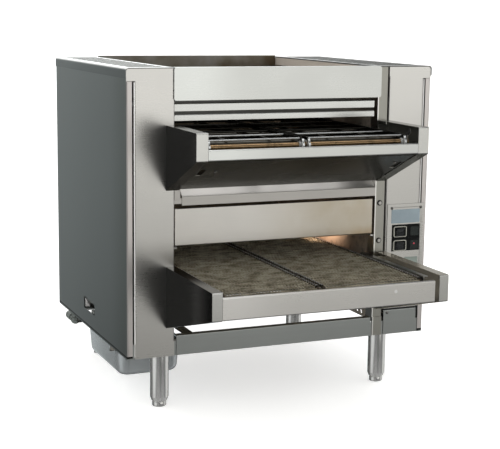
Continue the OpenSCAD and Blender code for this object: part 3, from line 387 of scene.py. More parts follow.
def place(tree, axis):
    # one Object coordinate of the surface point
    coords = tree.nodes.new("ShaderNodeTexCoord")
    split = tree.nodes.new("ShaderNodeSeparateXYZ")
    tree.links.new(coords.outputs["Object"], split.inputs[0])
    return split.outputs[axis]


def bumped(tree, bsdf, height, strength, distance):
    node = tree.nodes.new("ShaderNodeBump")
    node.inputs["Strength"].default_value = strength
    node.inputs["Distance"].default_value = distance
    tree.links.new(height, node.inputs["Height"])
    tree.links.new(node.outputs[0], bsdf.inputs["Normal"])


def times(colour, factor):
    return tuple(min(1.0, c * factor) for c in colour)


def zoneMask(tree, zone):
    # how far a surface point is inside a band along one axis, or near a centre, from 0 to 1
    if "centre" in zone:
        coords = tree.nodes.new("ShaderNodeTexCoord")
        away = tree.nodes.new("ShaderNodeVectorMath")
        away.operation = "DISTANCE"
        away.inputs[1].default_value = zone["centre"]
        tree.links.new(coords.outputs["Object"], away.inputs[0])
        return ranged(tree, away.outputs["Value"], 0, 1, zone["radius"], zone["radius"] * 0.5, True)
    where = place(tree, zone["axis"])
    if zone.get("folded"):
        where = maths(tree, "ABSOLUTE", where, 0)
    return ranged(tree, where, 0, 1, zone["start"], zone["end"], True)


# scales of the patterns in brushed steel, how long the grain is drawn, and the colour of baked-on soil
steelLook = dict(along=0.012, streak=900, broad=46, smudge=5.5, cloud=9, spots=38, soil=(0.035, 0.028, 0.02))


def brushedSteel(name, base, rough, grain, metal=1.0, smudges=0.22, soil=0.0, bands=0.3, streaks=1.0,
                 zones=(), **sockets):
    # long fine streaks along the grain, soft smudges, baked-on soil, and tinted zones, most of which paint
    # light or shade
    mat, tree, bsdf = shaderOf(name, base, metal, rough, **sockets)
    long = [1.0, 1.0, 1.0]
    for axis in grain:
        long["xyz".index(axis)] = steelLook["along"]
    streak = noise(tree, steelLook["streak"], tuple(long), 4.0, 0.65)
    broad = noise(tree, steelLook["broad"], tuple(long), 2.0)
    smudge = noise(tree, steelLook["smudge"], detail=5.0, rough=0.6)
    tone = mixed(tree, ranged(tree, streak, 0, 1, 0.3, 0.7), times(base, 0.975), times(base, 1.02))
    tone = mixed(tree, ranged(tree, broad, 0, bands, 0.35, 0.65), tone, times(base, 0.92))
    tone = mixed(tree, ranged(tree, smudge, 0, smudges, 0.48, 0.72), tone, times(base, 0.72))
    for zone in zones:
        near = zoneMask(tree, zone)
        if "within" in zone:
            near = maths(tree, "MULTIPLY", near, zoneMask(tree, zone["within"]))
        if zone.get("mottled"):
            cloud = ranged(tree, noise(tree, steelLook["cloud"], detail=4.0), 0.45, 1.1, 0.3, 0.7)
            near = maths(tree, "MULTIPLY", near, cloud)
        tone = mixed(tree, maths(tree, "MULTIPLY", near, zone["most"]), tone, zone["tint"])
        if "dull" in zone:
            shine = maths(tree, "SUBTRACT", metal, maths(tree, "MULTIPLY", near, zone["dull"]))
            tree.links.new(shine, bsdf.inputs["Metallic"])
    if soil:
        specks = noise(tree, steelLook["spots"], detail=6.0, rough=0.7)
        tone = mixed(tree, ranged(tree, specks, 0, soil, 0.52, 0.66), tone, steelLook["soil"])
    tree.links.new(tone, bsdf.inputs["Base Color"])
    fine = ranged(tree, streak, -0.02 * streaks, 0.02 * streaks, 0.3, 0.7)
    coarse = ranged(tree, smudge, -0.14 * smudges, 0.22 * smudges, 0.35, 0.7)
    total = maths(tree, "ADD", maths(tree, "ADD", fine, coarse), rough)
    tree.links.new(total, bsdf.inputs["Roughness"])
    bumped(tree, bsdf, streak, 0.006 * streaks, 0.0001)
    return mat


def roughMetal(name, base, metallic, rough, scale, tint, depth=0.0004, stretch=(1, 1, 1),
               span=(0.36, 0.64)):
    # cast, seasoned or sooted metal: mottled colour with a pitted surface
    mat, tree, bsdf = shaderOf(name, base, metallic, rough)
    mottle = noise(tree, scale, stretch, detail=6.0, rough=0.65)
    grit = noise(tree, scale * 9, detail=3.0)
    tone = mixed(tree, ranged(tree, mottle, 0, 1, *span), base, tint)
    tree.links.new(tone, bsdf.inputs["Base Color"])
    tree.links.new(ranged(tree, mottle, rough - 0.12, rough + 0.16, 0.3, 0.7), bsdf.inputs["Roughness"])
    bumped(tree, bsdf, maths(tree, "ADD", mottle, grit), 0.35, depth)
    return mat


def plastic(name, base, rough, scale=700.0, depth=0.00006, **sockets):
    # moulded plastic: a fine leathered grain and faint wear
    mat, tree, bsdf = shaderOf(name, base, 0.0, rough, **sockets)
    grain = noise(tree, scale, detail=2.0)
    wear = noise(tree, 24, detail=5.0)
    tone = mixed(tree, ranged(tree, wear, 0, 0.5, 0.45, 0.75), base, times(base, 1.35))
    tree.links.new(tone, bsdf.inputs["Base Color"])
    tree.links.new(ranged(tree, wear, rough - 0.08, rough + 0.12, 0.3, 0.7), bsdf.inputs["Roughness"])
    bumped(tree, bsdf, grain, 0.25, depth)
    return mat


# heights and depths where a finish or a painted light or shade changes, in metres in the row's frame
marks = dict(front=-0.1865, capTop=0.9275, base=0.156, louvre=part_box("louvre_strips")[0][1],
             feed=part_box("feeder_right_wing")[0][1], discharge=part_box("discharge_right_wing")[0][1])


def band(axis, start, end, tint=None, most=1.0, mark=None, **more):
    # a zone of a tint, mostly painted light or shade, that grows from start to end along an axis, both
    # measured from a mark
    origin = marks[mark] if mark else 0.0
    return dict(axis=axis, start=origin + start, end=origin + end, tint=tint, most=most, **more)


# side panels: darker towards the front as painted shade; the front flange lighter as a painted highlight; a
# near-black painted shadow line a little above the bottom edge, with the strip under it a little darker;
# painted shade on the inner faces behind the flange
sideSteel = brushedSteel("sideSteel", (0.40, 0.43, 0.42), 0.34, "z", smudges=0.0, bands=0.0, zones=[
    band(1, 0.16, 0.01, (0.32, 0.345, 0.325), mark="front"),
    band(1, 0.0022, 0.0016, (0.74, 0.70, 0.68), mark="front"),
    band(2, 0.0090, 0.0082, (0.015, 0.015, 0.015), mark="base"),
    band(2, 0.0036, 0.0028, (0.33, 0.36, 0.34), mark="base"),
    band(0, 0.4454, 0.4450, (0.05, 0.05, 0.045), folded=True, within=band(1, 0.0030, 0.0038, mark="front")),
])
# columns and control plate: lighter towards the top, a painted light
columnSteel = brushedSteel("columnSteel", (0.60, 0.59, 0.565), 0.28, "x", smudges=0.06, bands=0.1,
                           streaks=0.4, zones=[band(2, 0.66, 0.84, (0.70, 0.69, 0.665))])
# hood and feeder front rail: lighter towards the left end, a painted light
hoodSteel = brushedSteel("hoodSteel", (0.66, 0.67, 0.65), 0.28, "x", smudges=0.06, bands=0.15, streaks=0.4,
                         zones=[band(0, -0.08, -0.28, (0.78, 0.80, 0.78))])
# louvres: everything behind their front faces is dark, partly baked-on soot and partly painted shade in the
# mouths
louvreSteel = brushedSteel("louvreSteel", (0.72, 0.73, 0.71), 0.28, "x", smudges=0.08,
                           zones=[band(1, 0.0018, 0.0030, (0.07, 0.068, 0.05), mark="louvre")])
# top covers: the left cover much lighter, a painted highlight; darker skirts and a near-black front edge and
# underside below the top sheet, both painted shade
capSteel = brushedSteel("capSteel", (0.58, 0.58, 0.56), 0.30, "y", smudges=0.05, zones=[
    band(0, 0.1, -0.1, (0.95, 0.95, 0.93)),
    band(2, -0.0015, -0.006, (0.23, 0.25, 0.245), mark="capTop"),
    band(2, -0.00003, -0.0001, (0.04, 0.037, 0.028), mark="capTop",
         within=band(0, 0.432, 0.430, folded=True)),
    band(2, -0.0030, -0.0040, (0.86, 0.77, 0.67), mark="capTop", dull=0.6,
         within=band(0, 0.3205, 0.3195, folded=True)),
])
railSteel = brushedSteel("railSteel", (0.62, 0.60, 0.57), 0.38, "x", smudges=0.08, streaks=0.5)
# discharge rail: lighter towards its left end as painted light, and a small white spot near its right end, a
# painted glint
dischargeSteel = brushedSteel("dischargeSteel", (0.74, 0.725, 0.695), 0.29, "x", smudges=0.08, zones=[
    band(0, -0.10, -0.30, (0.92, 0.90, 0.87), 0.8),
    dict(centre=(0.1661, -0.5235, 0.3675), radius=0.006, most=0.8, tint=(1.0, 1.0, 1.0)),
])
shieldSteel = brushedSteel("shieldSteel", (0.70, 0.68, 0.645), 0.30, "x", smudges=0.08, streaks=0.5, zones=[
    band(0, -0.16, 0.27, (0.46, 0.38, 0.25), 0.75, mottled=True),
    band(2, 0.484, 0.455, (0.36, 0.25, 0.12), 0.65, mottled=True, within=band(0, 0.0, 0.26)),
])
# wings: plain steel front flanges; the sheets behind them are darker as painted shade, the right wings'
# sheets also less metallic and the discharge one warm
wingBase = (0.56, 0.56, 0.54)
feedLeftSteel = brushedSteel("feedLeftSteel", wingBase, 0.17, "y", smudges=0.12,
                             zones=[band(1, 0.0016, 0.0024, (0.14, 0.14, 0.135), mark="feed")])
dischargeLeftSteel = brushedSteel("dischargeLeftSteel", wingBase, 0.17, "y", smudges=0.12,
                                  zones=[band(1, 0.0016, 0.0024, (0.17, 0.17, 0.165), mark="discharge")])
feedWingSteel = brushedSteel("feedWingSteel", wingBase, 0.20, "y", smudges=0.12, zones=[
    band(1, 0.0016, 0.0024, (0.15, 0.15, 0.13), mark="feed", dull=0.4, within=band(0, 0.3160, 0.3155)),
])
dischargeWingSteel = brushedSteel("dischargeWingSteel", wingBase, 0.20, "y", smudges=0.12, zones=[
    band(1, 0.0016, 0.0024, (0.34, 0.31, 0.25), mark="discharge", dull=0.6, within=band(0, 0.3240, 0.3235)),
])
# feeder underside: a much darker copy of the steel, painted shade, with soil specks
underSteel = brushedSteel("underSteel", (0.19, 0.187, 0.165), 0.26, "x", soil=0.2)
# lower front panel, base frame and service box cover: a darker copy of the steel, painted shade
baseSteel = brushedSteel("baseSteel", (0.40, 0.42, 0.41), 0.32, "x", smudges=0.10)
backSteel = brushedSteel("backSteel", (0.50, 0.50, 0.49), 0.36, "x",
                         zones=[band(1, 0.5231, 0.5224, (0.15, 0.125, 0.085), mottled=True)])
hotSteel = roughMetal("hotSteel", (0.19, 0.16, 0.115), 0.8, 0.55, 14, (0.09, 0.07, 0.045))
wallSteel = brushedSteel("wallSteel", (0.62, 0.54, 0.45), 0.42, "y", metal=0.75, smudges=0.3, soil=0.35,
                         zones=[band(1, -0.10, 0.20, (0.75, 0.50, 0.34), 0.5, mottled=True)])
frameSteel = brushedSteel("frameSteel", (0.40, 0.39, 0.36), 0.32, "y", soil=0.5)
# post: a darker copy of the steel as painted shade, with a painted highlight along its left edge
postSteel = brushedSteel("postSteel", (0.38, 0.375, 0.34), 0.30, "z", smudges=0.12,
                         zones=[band(0, 0.2886, 0.2878, (0.95, 0.94, 0.90))])
sootFrame = brushedSteel("sootFrame", (0.13, 0.125, 0.11), 0.34, "y", soil=0.7)
legSteel = brushedSteel("legSteel", (0.92, 0.92, 0.90), 0.18, "xy", metal=0.86, smudges=0.06, bands=0.1,
                        streaks=0.3)
shaftSteel = brushedSteel("shaftSteel", (0.36, 0.24, 0.13), 0.26, "x", soil=0.6)
sprocketSteel = brushedSteel("sprocketSteel", (0.86, 0.86, 0.84), 0.24, "y", metal=0.75, soil=0.1)
beltSteel = roughMetal("beltSteel", (0.50, 0.455, 0.35), 0.35, 0.46, 52, (0.14, 0.12, 0.08),
                       stretch=(0.5, 1.0, 1.0), span=(0.38, 0.62))
chainSteel = roughMetal("chainSteel", (0.045, 0.04, 0.032), 0.9, 0.36, 80, (0.025, 0.02, 0.016))
# painted highlights on chains and bars: on top of the lower links, and on the links and bars at the upper
# front; the upper bars are otherwise nearly black, as painted shade
linkSteelTopGlint = brushedSteel("linkSteelTopGlint", (0.16, 0.135, 0.11), 0.28, "x", soil=0.2,
                         zones=[band(2, 0.3901, 0.3908, (1.0, 0.98, 0.95), dull=0.3)])
sootChainFrontGlint = brushedSteel("sootChainFrontGlint", (0.05, 0.047, 0.041), 0.36, "x", soil=0.4,
                         zones=[band(1, -0.3820, -0.3865, (0.85, 0.87, 0.87), dull=0.3)])
shadedFlightsLitFront = brushedSteel("shadedFlightsLitFront", (0.035, 0.034, 0.03), 0.22, "x", soil=0.3,
                           zones=[band(1, -0.20, -0.25, (0.52, 0.53, 0.53))])
bronze = roughMetal("bronze", (0.52, 0.36, 0.16), 1.0, 0.34, 90, (0.36, 0.24, 0.10))
motorPaint = plastic("motorPaint", (0.16, 0.17, 0.18), 0.45, 260.0, 0.0002)
burnerSteel = roughMetal("burnerSteel", (0.20, 0.16, 0.11), 0.9, 0.5, 40, (0.09, 0.07, 0.05))
pipeIron = roughMetal("pipeIron", (0.28, 0.31, 0.29), 0.6, 0.42, 70, (0.16, 0.175, 0.165))
fasciaBlack = plastic("fasciaBlack", (0.004, 0.0045, 0.0045), 0.36, Specular_IOR_Level=0.1)
rockerBlack = plastic("rockerBlack", (0.016, 0.017, 0.018), 0.30)
bezelCream = plastic("bezelCream", (0.29, 0.285, 0.25), 0.42, Specular_IOR_Level=0.3)
windowSmoke = plastic("windowSmoke", (0.008, 0.011, 0.010), 0.16, Specular_IOR_Level=0.25)
lensRed = plastic("lensRed", (0.42, 0.05, 0.07), 0.22)
plateBlue = plastic("plateBlue", (0.20, 0.245, 0.27), 0.40, Specular_IOR_Level=0.3)
plateGrey = plastic("plateGrey", (0.17, 0.20, 0.18), 0.40, Specular_IOR_Level=0.3)
leverBlack = roughMetal("leverBlack", (0.02, 0.02, 0.02), 0.4, 0.45, 60, (0.035, 0.033, 0.03))
panSteel = brushedSteel("panSteel", (0.46, 0.49, 0.50), 0.26, "xy", metal=0.65, smudges=0.04, bands=0.0,
                        streaks=0.1)
boltSteel = brushedSteel("boltSteel", (0.42, 0.41, 0.39), 0.24, "x")
# a light, barely metallic copy of the steel: painted highlight and painted light where it is used
slitHighlightSteel = brushedSteel("slitHighlightSteel", (0.80, 0.79, 0.77), 0.30, "z", metal=0.3, smudges=0.05)

finishes = {
    sideSteel: ["left_side_panel", "right_side_panel"],
    columnSteel: ["left_column_cover", "right_column_cover", "control_plate"],
    postSteel: ["drive_side_post"],
    hoodSteel: ["front_hood", "feeder_front_rail"],
    louvreSteel: ["louvre_strips"],
    capSteel: ["left_top_cover", "right_top_cover"],
    railSteel: ["opening_rail"],
    dischargeSteel: ["discharge_front_rail"],
    shieldSteel: ["flame_shield"],
    feedLeftSteel: ["feeder_left_wing"],
    dischargeLeftSteel: ["discharge_left_wing"],
    feedWingSteel: ["feeder_right_wing"],
    dischargeWingSteel: ["discharge_right_wing"],
    underSteel: ["feeder_underside"],
    baseSteel: ["lower_front_panel", "base_frame", "service_box_cover"],
    backSteel: ["rear_panel"],
    hotSteel: ["left_firebox_wall", "drip_tray", "discharge_chute"],
    wallSteel: ["right_firebox_wall"],
    frameSteel: ["lower_conveyor_frame", "pan_runners"],
    sootFrame: ["upper_conveyor_frame"],
    legSteel: ["legs", "foot_front_left", "foot_front_right", "foot_rear_left", "foot_rear_right"],
    shaftSteel: ["upper_front_shaft", "upper_drive_shaft", "lower_front_shaft", "lower_drive_shaft"],
    sprocketSteel: ["upper_front_sprockets", "upper_drive_sprockets",
                    "lower_front_sprockets", "lower_drive_sprockets"],
    beltSteel: ["lower_left_belt", "lower_right_belt"],
    sootChainFrontGlint: ["upper_left_flights", "upper_right_flights"],
    bronze: ["shaft_bearings"],
    motorPaint: ["upper_gear_motor", "lower_gear_motor", "cable_gland"],
    burnerSteel: ["radiant_burners", "tube_burners"],
    pipeIron: ["gas_manifold"],
    fasciaBlack: ["control_fascia"],
    rockerBlack: ["upper_rocker", "lower_rocker"],
    windowSmoke: ["display_windows"],
    panSteel: ["grease_pan"],
    boltSteel: ["fasteners"],
}
for material, nodes in finishes.items():
    for node in nodes:
        cad[node].data.materials.clear()
        cad[node].data.materials.append(material)
# folded sheet metal has soft edges: the triangles are welded and their sharp edges rounded
foldedSheets = dict(width=0.5, join=0.00002, nodes=[
    "left_column_cover", "right_column_cover", "front_hood", "louvre_strips", "opening_rail",
    "flame_shield", "feeder_left_wing", "feeder_right_wing", "feeder_front_rail", "discharge_left_wing",
    "discharge_right_wing", "discharge_front_rail", "lower_front_panel", "service_box_cover",
    "control_plate", "drive_side_post", "left_side_panel", "right_side_panel"])
for node in foldedSheets["nodes"]:
    weld = cad[node].modifiers.new("weld", "WELD")
    weld.merge_threshold = foldedSheets["join"]
    roundEdges(cad[node], foldedSheets["width"])
print("finishes on", sum(len(n) for n in finishes.values()), "nodes")

# belts: woven lower lanes and chained upper lanes
belts = dict(topEnd=75, returnEnd=147, weaveInset=5.2, weaveGap=0.2, rodInset=0.05, rod=1.35, rodSides=5,
             flight=2.5, flightSides=12, flightEvery=8)
# links of the woven belt: the top run with the bend at its front, and the return run
beltRuns = dict(Top=np.r_[0:belts["topEnd"], belts["returnEnd"]:lowerLoop["links"]],
                Return=np.arange(belts["topEnd"], belts["returnEnd"]))


def crossRods(loop, picks, x0, x1, radius, sides):
    # straight bars across a lane, one at each picked joint
    joints = np.stack(onLoop(picks * chainPitch, 0.0 * picks, loop), -1)
    return rodsAlongX(x0 + belts["rodInset"], x1 - belts["rodInset"], joints, radius, sides)


for side in ("left", "right"):
    x0, x1 = lanes[side]
    inner = x1 - lanes["chainWidth"]
    ends = (x0, inner)
    woven = dict(slot="chain_steel", replaces=["lower_" + side + "_belt"])
    chained = dict(slot="chain_steel", replaces=["upper_" + side + "_flights"])
    lower, upper = "lower" + side.title(), "upper" + side.title()
    for run, picks in beltRuns.items():
        start, end = x0 + belts["weaveInset"], inner - belts["weaveGap"]
        wires = weaveParts(lowerLoop, start, end, picks.astype(float), belts["rod"])
        rods = crossRods(lowerLoop, picks, x0, x1, belts["rod"], belts["rodSides"])
        piece(lower + "Weave" + run, [wires, rods], beltSteel, smooth=70, **woven)
    links = np.arange(lowerLoop["links"])
    outerParts = [p for x in ends for p in outerLinks(lowerLoop, x, links)]
    piece(lower + "OuterLinks", outerParts, linkSteelTopGlint, **woven)
    innerParts = [p for x in ends for p in innerLinks(lowerLoop, x, links)]
    piece(lower + "InnerLinks", innerParts, chainSteel, **woven)
    links = np.arange(upperLoop["links"])
    strands = [p for x in ends for p in outerLinks(upperLoop, x, links) + innerLinks(upperLoop, x, links)]
    piece(upper + "Chains", strands, sootChainFrontGlint, **chained)
    picks = links[::belts["flightEvery"]]
    flights = crossRods(upperLoop, picks, x0, x1, belts["flight"], belts["flightSides"])
    piece(upper + "FlightBars", [flights], shadedFlightsLitFront, **chained)
print("belts woven")

# control panel: cream bezels, ribbed rockers, an indicator and two bare plates
switches = dict(x=364.55, rows=dict(lower=260.5, upper=300.5), face=-2.8)
# a rim section is width, height, corner radius and distance before the face
bezelRim = [(42.9, 31.4, 4.6, 0.0), (42.9, 31.4, 4.6, 2.6), (42.0, 30.5, 4.4, 3.5), (40.4, 29.0, 4.0, 3.8),
            (37.6, 27.2, 3.0, 3.8), (36.8, 26.4, 2.6, 3.4), (36.8, 26.4, 2.6, 0.0)]
# a rocker's sizes are measured from its pins; an end is a place across it and the outline's size there
rocker = dict(half=11, ribs=11, ribSteps=8, ribbed=10.2, ribDeep=0.3, front=-5.4, vee=2.0, middle=(-2.0, 0.0),
              back=[(1, -10), (4, 0), (1, 10)], ends=[(-12, 0.94), (-11.5, 1.0), (11.5, 1.0), (12, 0.94)],
              pin=13.2, pinRadius=1.5, pinSides=16, pivot=-1, tilt=8.0)
# a plate is x, z, width and height
# its edge is loss of size, loss of corner radius and distance before the face
plates = dict(plate=(382.6, 344.8, 93, 40), note=(404.0, 212.5, 44, 25), face=-2.0, corner=2.5,
              edge=[(0, 0, 0), (0, 0, 0.3), (0.5, 0.3, 0.5)])
lens = dict(at=(411.8, -3.8, 264.0), sides=20,
            profile=[(2.6, 0), (2.6, -0.5), (2.2, -1.2), (1.3, -1.7), (0.01, -1.9)])


def rockerCap(c, x, z):
    # a shallow V across the height with fine ribs, carried along the width, then tipped about its pins
    half, ribs = c["half"], c["ribs"]
    h = np.linspace(half, -half, ribs * c["ribSteps"] + 1)
    wave = 1 - np.cos(2 * np.pi * (h + half) * ribs / (2 * half))
    dip = c["ribDeep"] * wave * (np.abs(h) < c["ribbed"])
    front = np.stack([c["front"] - c["vee"] * np.abs(h) / half + dip, h], -1)
    outline = np.concatenate([front, c["back"]])
    middle = np.array(c["middle"])
    loops = []
    for end, size in c["ends"]:
        yz = middle + (outline - middle) * size
        loops.append(np.stack([np.full(len(yz), end), yz[:, 0], yz[:, 1]], -1))
    pins = rodsAlongX(-c["pin"], c["pin"], [(0, 0)], c["pinRadius"], c["pinSides"])
    points, faces = joinParts([loft(loops), pins])
    a = math.radians(c["tilt"])
    y, up = points[:, 1].copy(), points[:, 2].copy()
    points[:, 0] += x
    points[:, 1] = y * math.cos(a) - up * math.sin(a) + c["pivot"]
    points[:, 2] = y * math.sin(a) + up * math.cos(a) + z
    return points, faces


for row, z in switches["rows"].items():
    rim = [(w, h, r, switches["face"] - out) for w, h, r, out in bezelRim]
    piece(row + "Bezel", [loft(facing(switches["x"], z, rim), ring=True)], bezelCream,
          slot="fascia_black", outward=True)
    piece(row + "RockerCap", [rockerCap(rocker, switches["x"], z)], rockerBlack, body=row + "_rocker",
          slot="rocker_black", replaces=[row + "_rocker"], outward=True)
for name, material in (("plate", plateBlue), ("note", plateGrey)):
    x, z, w, h = plates[name]
    r, y = plates["corner"], plates["face"]
    sections = [(w - less, h - less, r - cut, y - out) for less, cut, out in plates["edge"]]
    piece(name + "Bare", [loft(facing(x, z, sections))], material, slot="front_steel", outward=True)
piece("runLens", [lathe(lens, lens["at"], 1)], lensRed, slot="window_smoke", outward=True)
print("control panel dressed")

# fasteners: hex bolts with washers on the post, dome screws on the sheets
bolts = dict(hex=[(300, 4, 278), (300, 4, 386)], cover=[(333, 0, 64)],
             plate=[(x, -2, z) for x in (337.3, 431.3) for z in (198, 369)],
             under=[(-257, -141), (252, -158), (283, -43)],
             slope=101 / 225, slopeFront=(-225, 550.5), lift=0.4)
washer = dict(sides=32, profile=[(0.01, 0), (8.2, 0), (8.2, -0.9), (7.9, -1.2), (0.01, -1.2)])
hexHead = dict(sides=6, profile=[(0.01, -1.2), (6.06, -1.2), (6.06, -3.3), (5.4, -4.0), (0.01, -4.0)])
domeHead = dict(sides=24, profile=[(0.01, 0), (4.3, 0), (4.3, -0.7), (3.7, -1.6), (2.4, -2.2), (0.01, -2.5)])
recess = dict(front=2.52, back=2.2, arms=[(1.7, 0.4), (0.4, 1.7)])
seated = dict(slot="bolt_steel", replaces=["fasteners"], outward=True)
# the washers are black: painted shade round the hex heads
piece("postWashers", [lathe(washer, c, 1) for c in bolts["hex"]], leverBlack, **seated)
piece("postBolts", [lathe(hexHead, c, 1) for c in bolts["hex"]], boltSteel, **seated)


def crossRecess(c):
    # two dark bars in a cross on a dome head: painted shade for its cross recess
    x, y, z = c
    front, back = y - recess["front"], y - recess["back"]
    return [slab(x - w, x + w, front, back, z - h, z + h) for w, h in recess["arms"]]


heads = bolts["plate"] + bolts["cover"]
piece("sheetScrews", [lathe(domeHead, c, 1) for c in heads], boltSteel, **seated)
recesses = [b for c in heads for b in crossRecess(c)]
piece("screwRecesses", recesses, leverBlack, slot="bolt_steel", outward=True)


def underScrew(x, y):
    # a dome on the sloped underside, which falls by the slope towards the columns
    points, faces = lathe(domeHead, (0, 0, 0), 1)
    a = math.atan2(1, bolts["slope"])
    up, out = points[:, 2].copy(), points[:, 1].copy()
    points[:, 1] = up * math.sin(a) + out * math.cos(a) + y
    frontY, frontZ = bolts["slopeFront"]
    sheet = frontZ - (y - frontY) * bolts["slope"] + bolts["lift"]
    points[:, 2] = -up * math.cos(a) + out * math.sin(a) + sheet
    points[:, 0] += x
    return points, faces


underScrews = [underScrew(x, y) for x, y in bolts["under"]]
piece("underScrews", underScrews, boltSteel, slot="bolt_steel", outward=True)
print("fasteners set")

# legs with rolled lower ends, feet with grooves, and mounting plates
stand = dict(front_left=(-338, 66), rear_left=(-338, 644), front_right=(338, 66), rear_right=(338, 644))
leg = dict(sides=64, profile=[
    (12.1, -139.7), (20.5, -139.7), (22.4, -138.6), (23.2, -136.6), (24.2, -132.5), (25.4, -130.2),
    (26, -128.5), (26, -4.0), (12.1, -4.0)])
foot = dict(sides=64, profile=[
    (0.01, -156), (17.6, -156), (18.8, -155.3), (19.6, -153.8), (20, -151.8), (20, -149.0),
    (19.1, -148.4), (19.1, -147.2), (20, -146.6), (20, -144.2), (19.2, -142.0), (17.5, -140.3),
    (12, -140), (12, -68), (10.5, -64), (0.01, -64)])
stud = dict(sides=24, profile=[(0.01, -0.5), (6, -0.5), (6, 14), (5, 15), (0.01, 15)])
legPlate = dict(half=50, thick=4)
legTubes = [lathe(leg, (x, y, 0), 2) for x, y in stand.values()]
piece("legTubes", legTubes, legSteel, slot="leg_steel", replaces=["legs"], outward=True)
half, thick = legPlate["half"], legPlate["thick"]
mounts = [slab(x - half, x + half, y - half, y + half, -thick, 0) for x, y in stand.values()]
mounts += [lathe(stud, (x, y, 0), 2) for x, y in stand.values()]
piece("legPlates", mounts, legSteel, slot="leg_steel", replaces=["legs"], rounding=0.6, outward=True)
for name, (x, y) in stand.items():
    piece(name + "Foot", [lathe(foot, (x, y, 0), 2)], legSteel, body="foot_" + name, slot="leg_steel",
          replaces=["foot_" + name], outward=True)

# grease pan: rounded rectangles from the outer bottom, over the rim, to the inner bottom
pan = dict(x=(-420.0, -230.0), y=(177.5, 502.5), top=-13.7, deep=88.0, corner=38.0, rim=12.0, wall=1.6,
           draft=5.0, fillet=20.0, floor=60, least=3.0, soft=0.6, innerEdge=(0.4, 1.2), filletSteps=7,
           cornerSteps=12)


def panLoops(p):
    # the wall's section, walked from outside to inside, sets each rectangle's inset and height
    t = np.linspace(0, np.pi / 2, p["filletSteps"])
    top, wall = p["top"], p["wall"]
    low = top - p["deep"]

    def side(grow):
        f = p["fillet"] + grow
        inset = p["draft"] - grow + f * (1 - np.sin(t))
        rise = low - grow + f * (1 - np.cos(t))
        return list(zip(inset, rise))
    edge, soft = -p["rim"], p["soft"]
    bend, drop = p["innerEdge"]
    out = [(p["floor"], low)] + side(0.0) + [(0, top - wall)]
    rim = [(edge + soft, top - wall), (edge, top - wall * 0.6), (edge, top - wall * 0.4), (edge + soft, top),
           (bend, top), (wall, top - drop)]
    back = side(-wall)[::-1] + [(p["floor"], low + wall)]
    (x0, x1), (y0, y1) = p["x"], p["y"]
    loops = []
    for inset, z in out + rim + back:
        r = max(p["corner"] - inset, p["least"])
        flat = roundedLoop(x0 + inset, x1 - inset, y0 + inset, y1 - inset, r, p["cornerSteps"])
        loops.append(np.column_stack([flat, np.full(len(flat), z)]))
    return loops


piece("drawnPan", [loft(panLoops(pan))], panSteel, body="grease_pan", slot="pan_steel",
      replaces=["grease_pan"], outward=True)
print("legs and pan made")

# bright strips in the slits beside the columns: painted highlights for the lit inner edges
slits = dict(left=(-429.2, -426.4), right=(428.4, 430.8), y=(0.4, 5.0),
             low=dict(left=4.0, right=78.0), top=734.0)
for side in ("left", "right"):
    strip = slab(*slits[side], *slits["y"], slits["low"][side], slits["top"])
    piece(side + "SlitEdge", [strip], slitHighlightSteel, slot="front_steel", rounding=0.4, outward=True)
# a cheek closes the rear end of each hand hole, made bright as painted light
handCheek = dict(outline=[(446.2, 84.6), (433.3, 58.9), (433.3, 52.0), (446.2, 52.0)], y=(417.4, 418.6))
for name, hand in (("left", -1), ("right", 1)):
    cheek = extruded(np.array(handCheek["outline"]) * (hand, 1), 1, *handCheek["y"])
    piece(name + "HandCheek", [cheek], slitHighlightSteel, slot="side_steel", rounding=0.25, outward=True)
# painted shadow lines: dark strips under the front edge of each top cover, and behind the joint of post and
# service box
shadowLineBoxes = dict(leftCap=(-446.0, -319.0, -2.15, -1.9, 769.3, 771.3),
             rightCap=(287.0, 446.0, -2.15, -1.9, 769.3, 771.3),
             serviceJoint=(316.0, 335.0, 14.0, 15.0, 20.0, 60.0))
piece("paintedShadowLines", [slab(*box) for box in shadowLineBoxes.values()], leverBlack, slot="fascia_black", rounding=0.05,
      outward=True)
# the lever on the infeed's right bar
lever = dict(x=(266.1, 270.0), outline=[(-176, 570), (-168, 570), (-166, 586), (-176, 598), (-196, 606),
                                        (-204, 617), (-208, 617), (-208, 608), (-200, 600), (-184, 590)])
piece("infeedLever", [extruded(lever["outline"], 0, *lever["x"])], leverBlack, slot="frame_steel",
      rounding=0.9, outward=True)
print("small pieces made")

